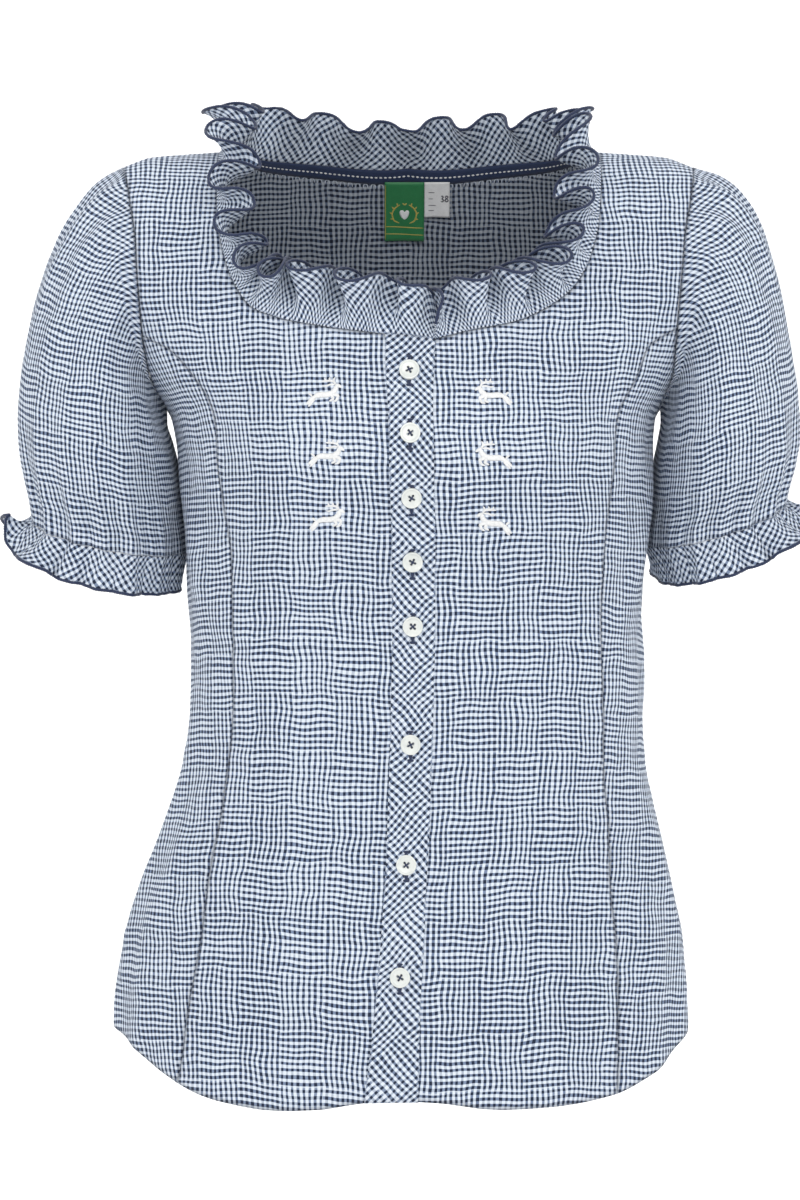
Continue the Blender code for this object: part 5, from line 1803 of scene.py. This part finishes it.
def make_materials():
    cloth = bpy.context.scene.blouse_cloth
    for name, turn, edge, tone in (
        # The seersucker check paints shade along its seams; the second one is the same check darkened all
        # over as painted shade for the blouse's inside.
        ("seersucker check", 0, True, 1.0),
        ("wrong side", 0, False, cloth.inside_painted_shade),
        ("bias check", 45, False, 1.0),
    ):
        finish_cloth(*check_cloth(name, turn, cloth), cloth, edge, tone)
    thread("navy_thread", (0.006, 0.018, 0.065))
    thread("white_thread", (0.86, 0.87, 0.86))
    pearl = Nodes("pearl", 0.22)
    place_ = pearl.tree.nodes.new("ShaderNodeTexCoord").outputs["Object"]
    cloud, _ = pearl.noise(place_, 160, 3.0)
    pearl.finish(pearl.blend(cloud, (0.56, 0.6, 0.58), (0.82, 0.83, 0.79)), None)
    pearl.shader.inputs["Coat Weight"].default_value = 0.4
    thread("navy_tape_cloth", (0.008, 0.022, 0.072), 0.75, 2400)
    thread("grey_thread", (0.62, 0.67, 0.76))
    thread("gold_thread", (0.55, 0.42, 0.08))
    thread("print", (0.1, 0.1, 0.12))
    for name, colour in (("green_satin", (0.02, 0.2, 0.065)), ("white_satin", (0.86, 0.86, 0.86))):
        thread(name, colour, 0.42, 3200)
    paper = Nodes("paper", 0.9)
    paper.shader.inputs["Base Color"].default_value = (0.93, 0.93, 0.93, 1)


class BlouseCloth(bpy.types.PropertyGroup):
    """Sizes and colours of the check cloth."""

    check_width: FloatProperty(name="Check width", description="Width of one check with its gap",
                               default=3.42 * MM, unit="LENGTH", precision=5)
    check_height: FloatProperty(name="Check height", description="Height of one check with its gap",
                                default=3.92 * MM, unit="LENGTH", precision=5)
    block_width: FloatProperty(name="Block width", description="Checks across one basket block", default=8.0)
    block_height: FloatProperty(name="Block height", description="Checks up one basket block", default=9.0)
    basket_lead: FloatProperty(name="Basket lead", description="Share of the leading threads in a block",
                               default=0.6, min=0.5, max=1.0, subtype="FACTOR")
    grain_drift: FloatProperty(name="Grain drift", description="How far the crinkle pulls the checks aside",
                               default=6 * MM, unit="LENGTH", precision=5)
    threads_in_check: FloatProperty(name="Threads in a check", description="Threads across one check",
                                    default=9.0)
    # Painted shade: how much darker the inner faces are drawn, for the shade inside the blouse.
    inside_painted_shade: FloatProperty(name="Inside painted shade",
                               description="How light the wrong side is beside the right one",
                               default=0.6, min=0, max=1, subtype="FACTOR")
    light_thread: FloatVectorProperty(name="Light thread", description="Colour of the white threads",
                                      default=(0.7, 0.755, 0.83), subtype="COLOR", min=0, max=1)
    middle_tone: FloatVectorProperty(name="Middle tone", description="Colour where navy and white cross",
                                     default=(0.145, 0.2, 0.315), subtype="COLOR", min=0, max=1)
    dark_thread: FloatVectorProperty(name="Dark thread", description="Colour of the navy threads",
                                     default=(0.005, 0.012, 0.036), subtype="COLOR", min=0, max=1)


class BlouseTrims(bpy.types.PropertyGroup):
    """Sizes of the buttons, the stitching and the embroidery."""

    button_size: FloatProperty(name="Button size", description="Diameter of a button",
                               default=12.7 * MM, unit="LENGTH", precision=5)
    button_thickness: FloatProperty(name="Button thickness", description="Height of a button's rim",
                                    default=2.6 * MM, unit="LENGTH", precision=5)
    button_rim: FloatProperty(name="Button rim", description="Width of the raised rim",
                              default=1.5 * MM, unit="LENGTH", precision=5)
    button_dish: FloatProperty(name="Button dish", description="How far the face lies below the rim",
                               default=0.6 * MM, unit="LENGTH", precision=5)
    hole_size: FloatProperty(name="Hole size", description="Diameter of one of the four holes",
                             default=1.5 * MM, unit="LENGTH", precision=5)
    hole_apart: FloatProperty(name="Hole spacing", description="Between the middles of two holes",
                              default=2.5 * MM, unit="LENGTH", precision=5)
    satin_height: FloatProperty(name="Satin height", description="How high the embroidery stands",
                                default=0.5 * MM, unit="LENGTH", precision=5)
    deer_size: FloatProperty(name="Deer size", description="Size of a deer beside the drawn one",
                             default=1.08)
    tape_width: FloatProperty(name="Tape width", description="Width of the navy tape at the back neck",
                              default=10.4 * MM, unit="LENGTH", precision=5)
    stitch_pitch: FloatProperty(name="Stitch pitch", description="From one white stitch to the next",
                                default=3.1 * MM, unit="LENGTH", precision=5)
    stitch_length: FloatProperty(name="Stitch length", description="Length of a white stitch",
                                 default=2 * MM, unit="LENGTH", precision=5)
    stitch_width: FloatProperty(name="Stitch width", description="Width of a white stitch",
                                default=1.3 * MM, unit="LENGTH", precision=5)


class BlouseStage(bpy.types.PropertyGroup):
    """Camera and light of the product picture."""

    distance: FloatProperty(name="Camera distance", description="From the camera to the blouse",
                            default=3.0, unit="LENGTH")
    frame_height: FloatProperty(name="Frame height", description="Height of the picture at the blouse",
                                default=0.78, unit="LENGTH")
    elevation: FloatProperty(name="Camera elevation", description="Angle of the view above the horizon",
                             default=math.radians(1.5), subtype="ANGLE")
    floor_height: FloatProperty(name="Floor height", description="Height of the floor below the shoulders",
                                default=-0.85, unit="LENGTH")
    daylight: FloatProperty(name="Daylight", description="Strength of the light from all round", default=0.66)


class BLOUSE_OT_panels(bpy.types.Operator):
    """Cuts the two centre fronts, the two side fronts and the back"""

    bl_idname = "blouse.panels"
    bl_label = "Fronts and back"

    def execute(self, context):
        for side, name in ((-1, "right"), (1, "left")):
            panel(f"front_{name}", front_grids(side), 0.6 * side)
            panel(f"side_front_{name}", side_front_grids(side), 5 * side)
        panel("back", [back_grid()], 0, math.pi)
        return {"FINISHED"}


class BLOUSE_OT_sleeves(bpy.types.Operator):
    """Sets in the two puff sleeves with their cuff frills"""

    bl_idname = "blouse.sleeves"
    bl_label = "Puff sleeves"

    def execute(self, context):
        for side in (-1, 1):
            cuff_frill(side, sleeve(side))
        return {"FINISHED"}


class BLOUSE_OT_neck_frill(bpy.types.Operator):
    """Gathers the bias frill round the neckline"""

    bl_idname = "blouse.neck_frill"
    bl_label = "Neck frill"

    def execute(self, context):
        neck_frill()
        return {"FINISHED"}


class BLOUSE_OT_placket(bpy.types.Operator):
    """Sews the bias strip down the front"""

    bl_idname = "blouse.placket"
    bl_label = "Front strip"

    def execute(self, context):
        placket()
        return {"FINISHED"}


class BLOUSE_OT_back_neck(bpy.types.Operator):
    """Sews the tape and the two labels into the back neck"""

    bl_idname = "blouse.back_neck"
    bl_label = "Tape and labels"

    def execute(self, context):
        neck_tape()
        labels()
        return {"FINISHED"}


class BLOUSE_OT_buttons(bpy.types.Operator):
    """Makes the eight buttons and their buttonholes"""

    bl_idname = "blouse.buttons"
    bl_label = "Buttons"

    def execute(self, context):
        buttons()
        return {"FINISHED"}


class BLOUSE_OT_deer(bpy.types.Operator):
    """Embroiders the six deer"""

    bl_idname = "blouse.deer"
    bl_label = "Deer embroidery"

    def execute(self, context):
        deer()
        return {"FINISHED"}


class BLOUSE_OT_stage(bpy.types.Operator):
    """Sets up the pale backdrop, the soft lights and the camera"""

    bl_idname = "blouse.stage"
    bl_label = "Stage"

    def execute(self, context):
        stage()
        return {"FINISHED"}


OPERATORS = (
    BLOUSE_OT_panels,
    BLOUSE_OT_sleeves,
    BLOUSE_OT_neck_frill,
    BLOUSE_OT_placket,
    BLOUSE_OT_back_neck,
    BLOUSE_OT_buttons,
    BLOUSE_OT_deer,
    BLOUSE_OT_stage,
)


class BLOUSE_PT_panel(bpy.types.Panel):
    """Lists the pieces of the blouse and their settings"""

    bl_idname = "BLOUSE_PT_panel"
    bl_label = "Dirndl blouse"
    bl_space_type = "VIEW_3D"
    bl_region_type = "UI"
    bl_category = "Blouse"

    def draw(self, context):
        scene = context.scene
        for settings in (scene.blouse_cloth, scene.blouse_trims, scene.blouse_stage):
            box = self.layout.box()
            for key in settings.__annotations__:
                box.prop(settings, key)
        for operator in OPERATORS:
            self.layout.operator(operator.bl_idname)


GROUPS = (BlouseCloth, BlouseTrims, BlouseStage)


def register():
    for made in (*GROUPS, *OPERATORS, BLOUSE_PT_panel):
        bpy.utils.register_class(made)
    bpy.types.Scene.blouse_cloth = PointerProperty(type=BlouseCloth)
    bpy.types.Scene.blouse_trims = PointerProperty(type=BlouseTrims)
    bpy.types.Scene.blouse_stage = PointerProperty(type=BlouseStage)


def unregister():
    del bpy.types.Scene.blouse_stage
    del bpy.types.Scene.blouse_trims
    del bpy.types.Scene.blouse_cloth
    for made in reversed((*GROUPS, *OPERATORS, BLOUSE_PT_panel)):
        bpy.utils.unregister_class(made)


def main():
    register()
    make_materials()
    for operator in OPERATORS:
        group, name = operator.bl_idname.split(".")
        getattr(getattr(bpy.ops, group), name)()


if __name__ == "__main__":
    main()
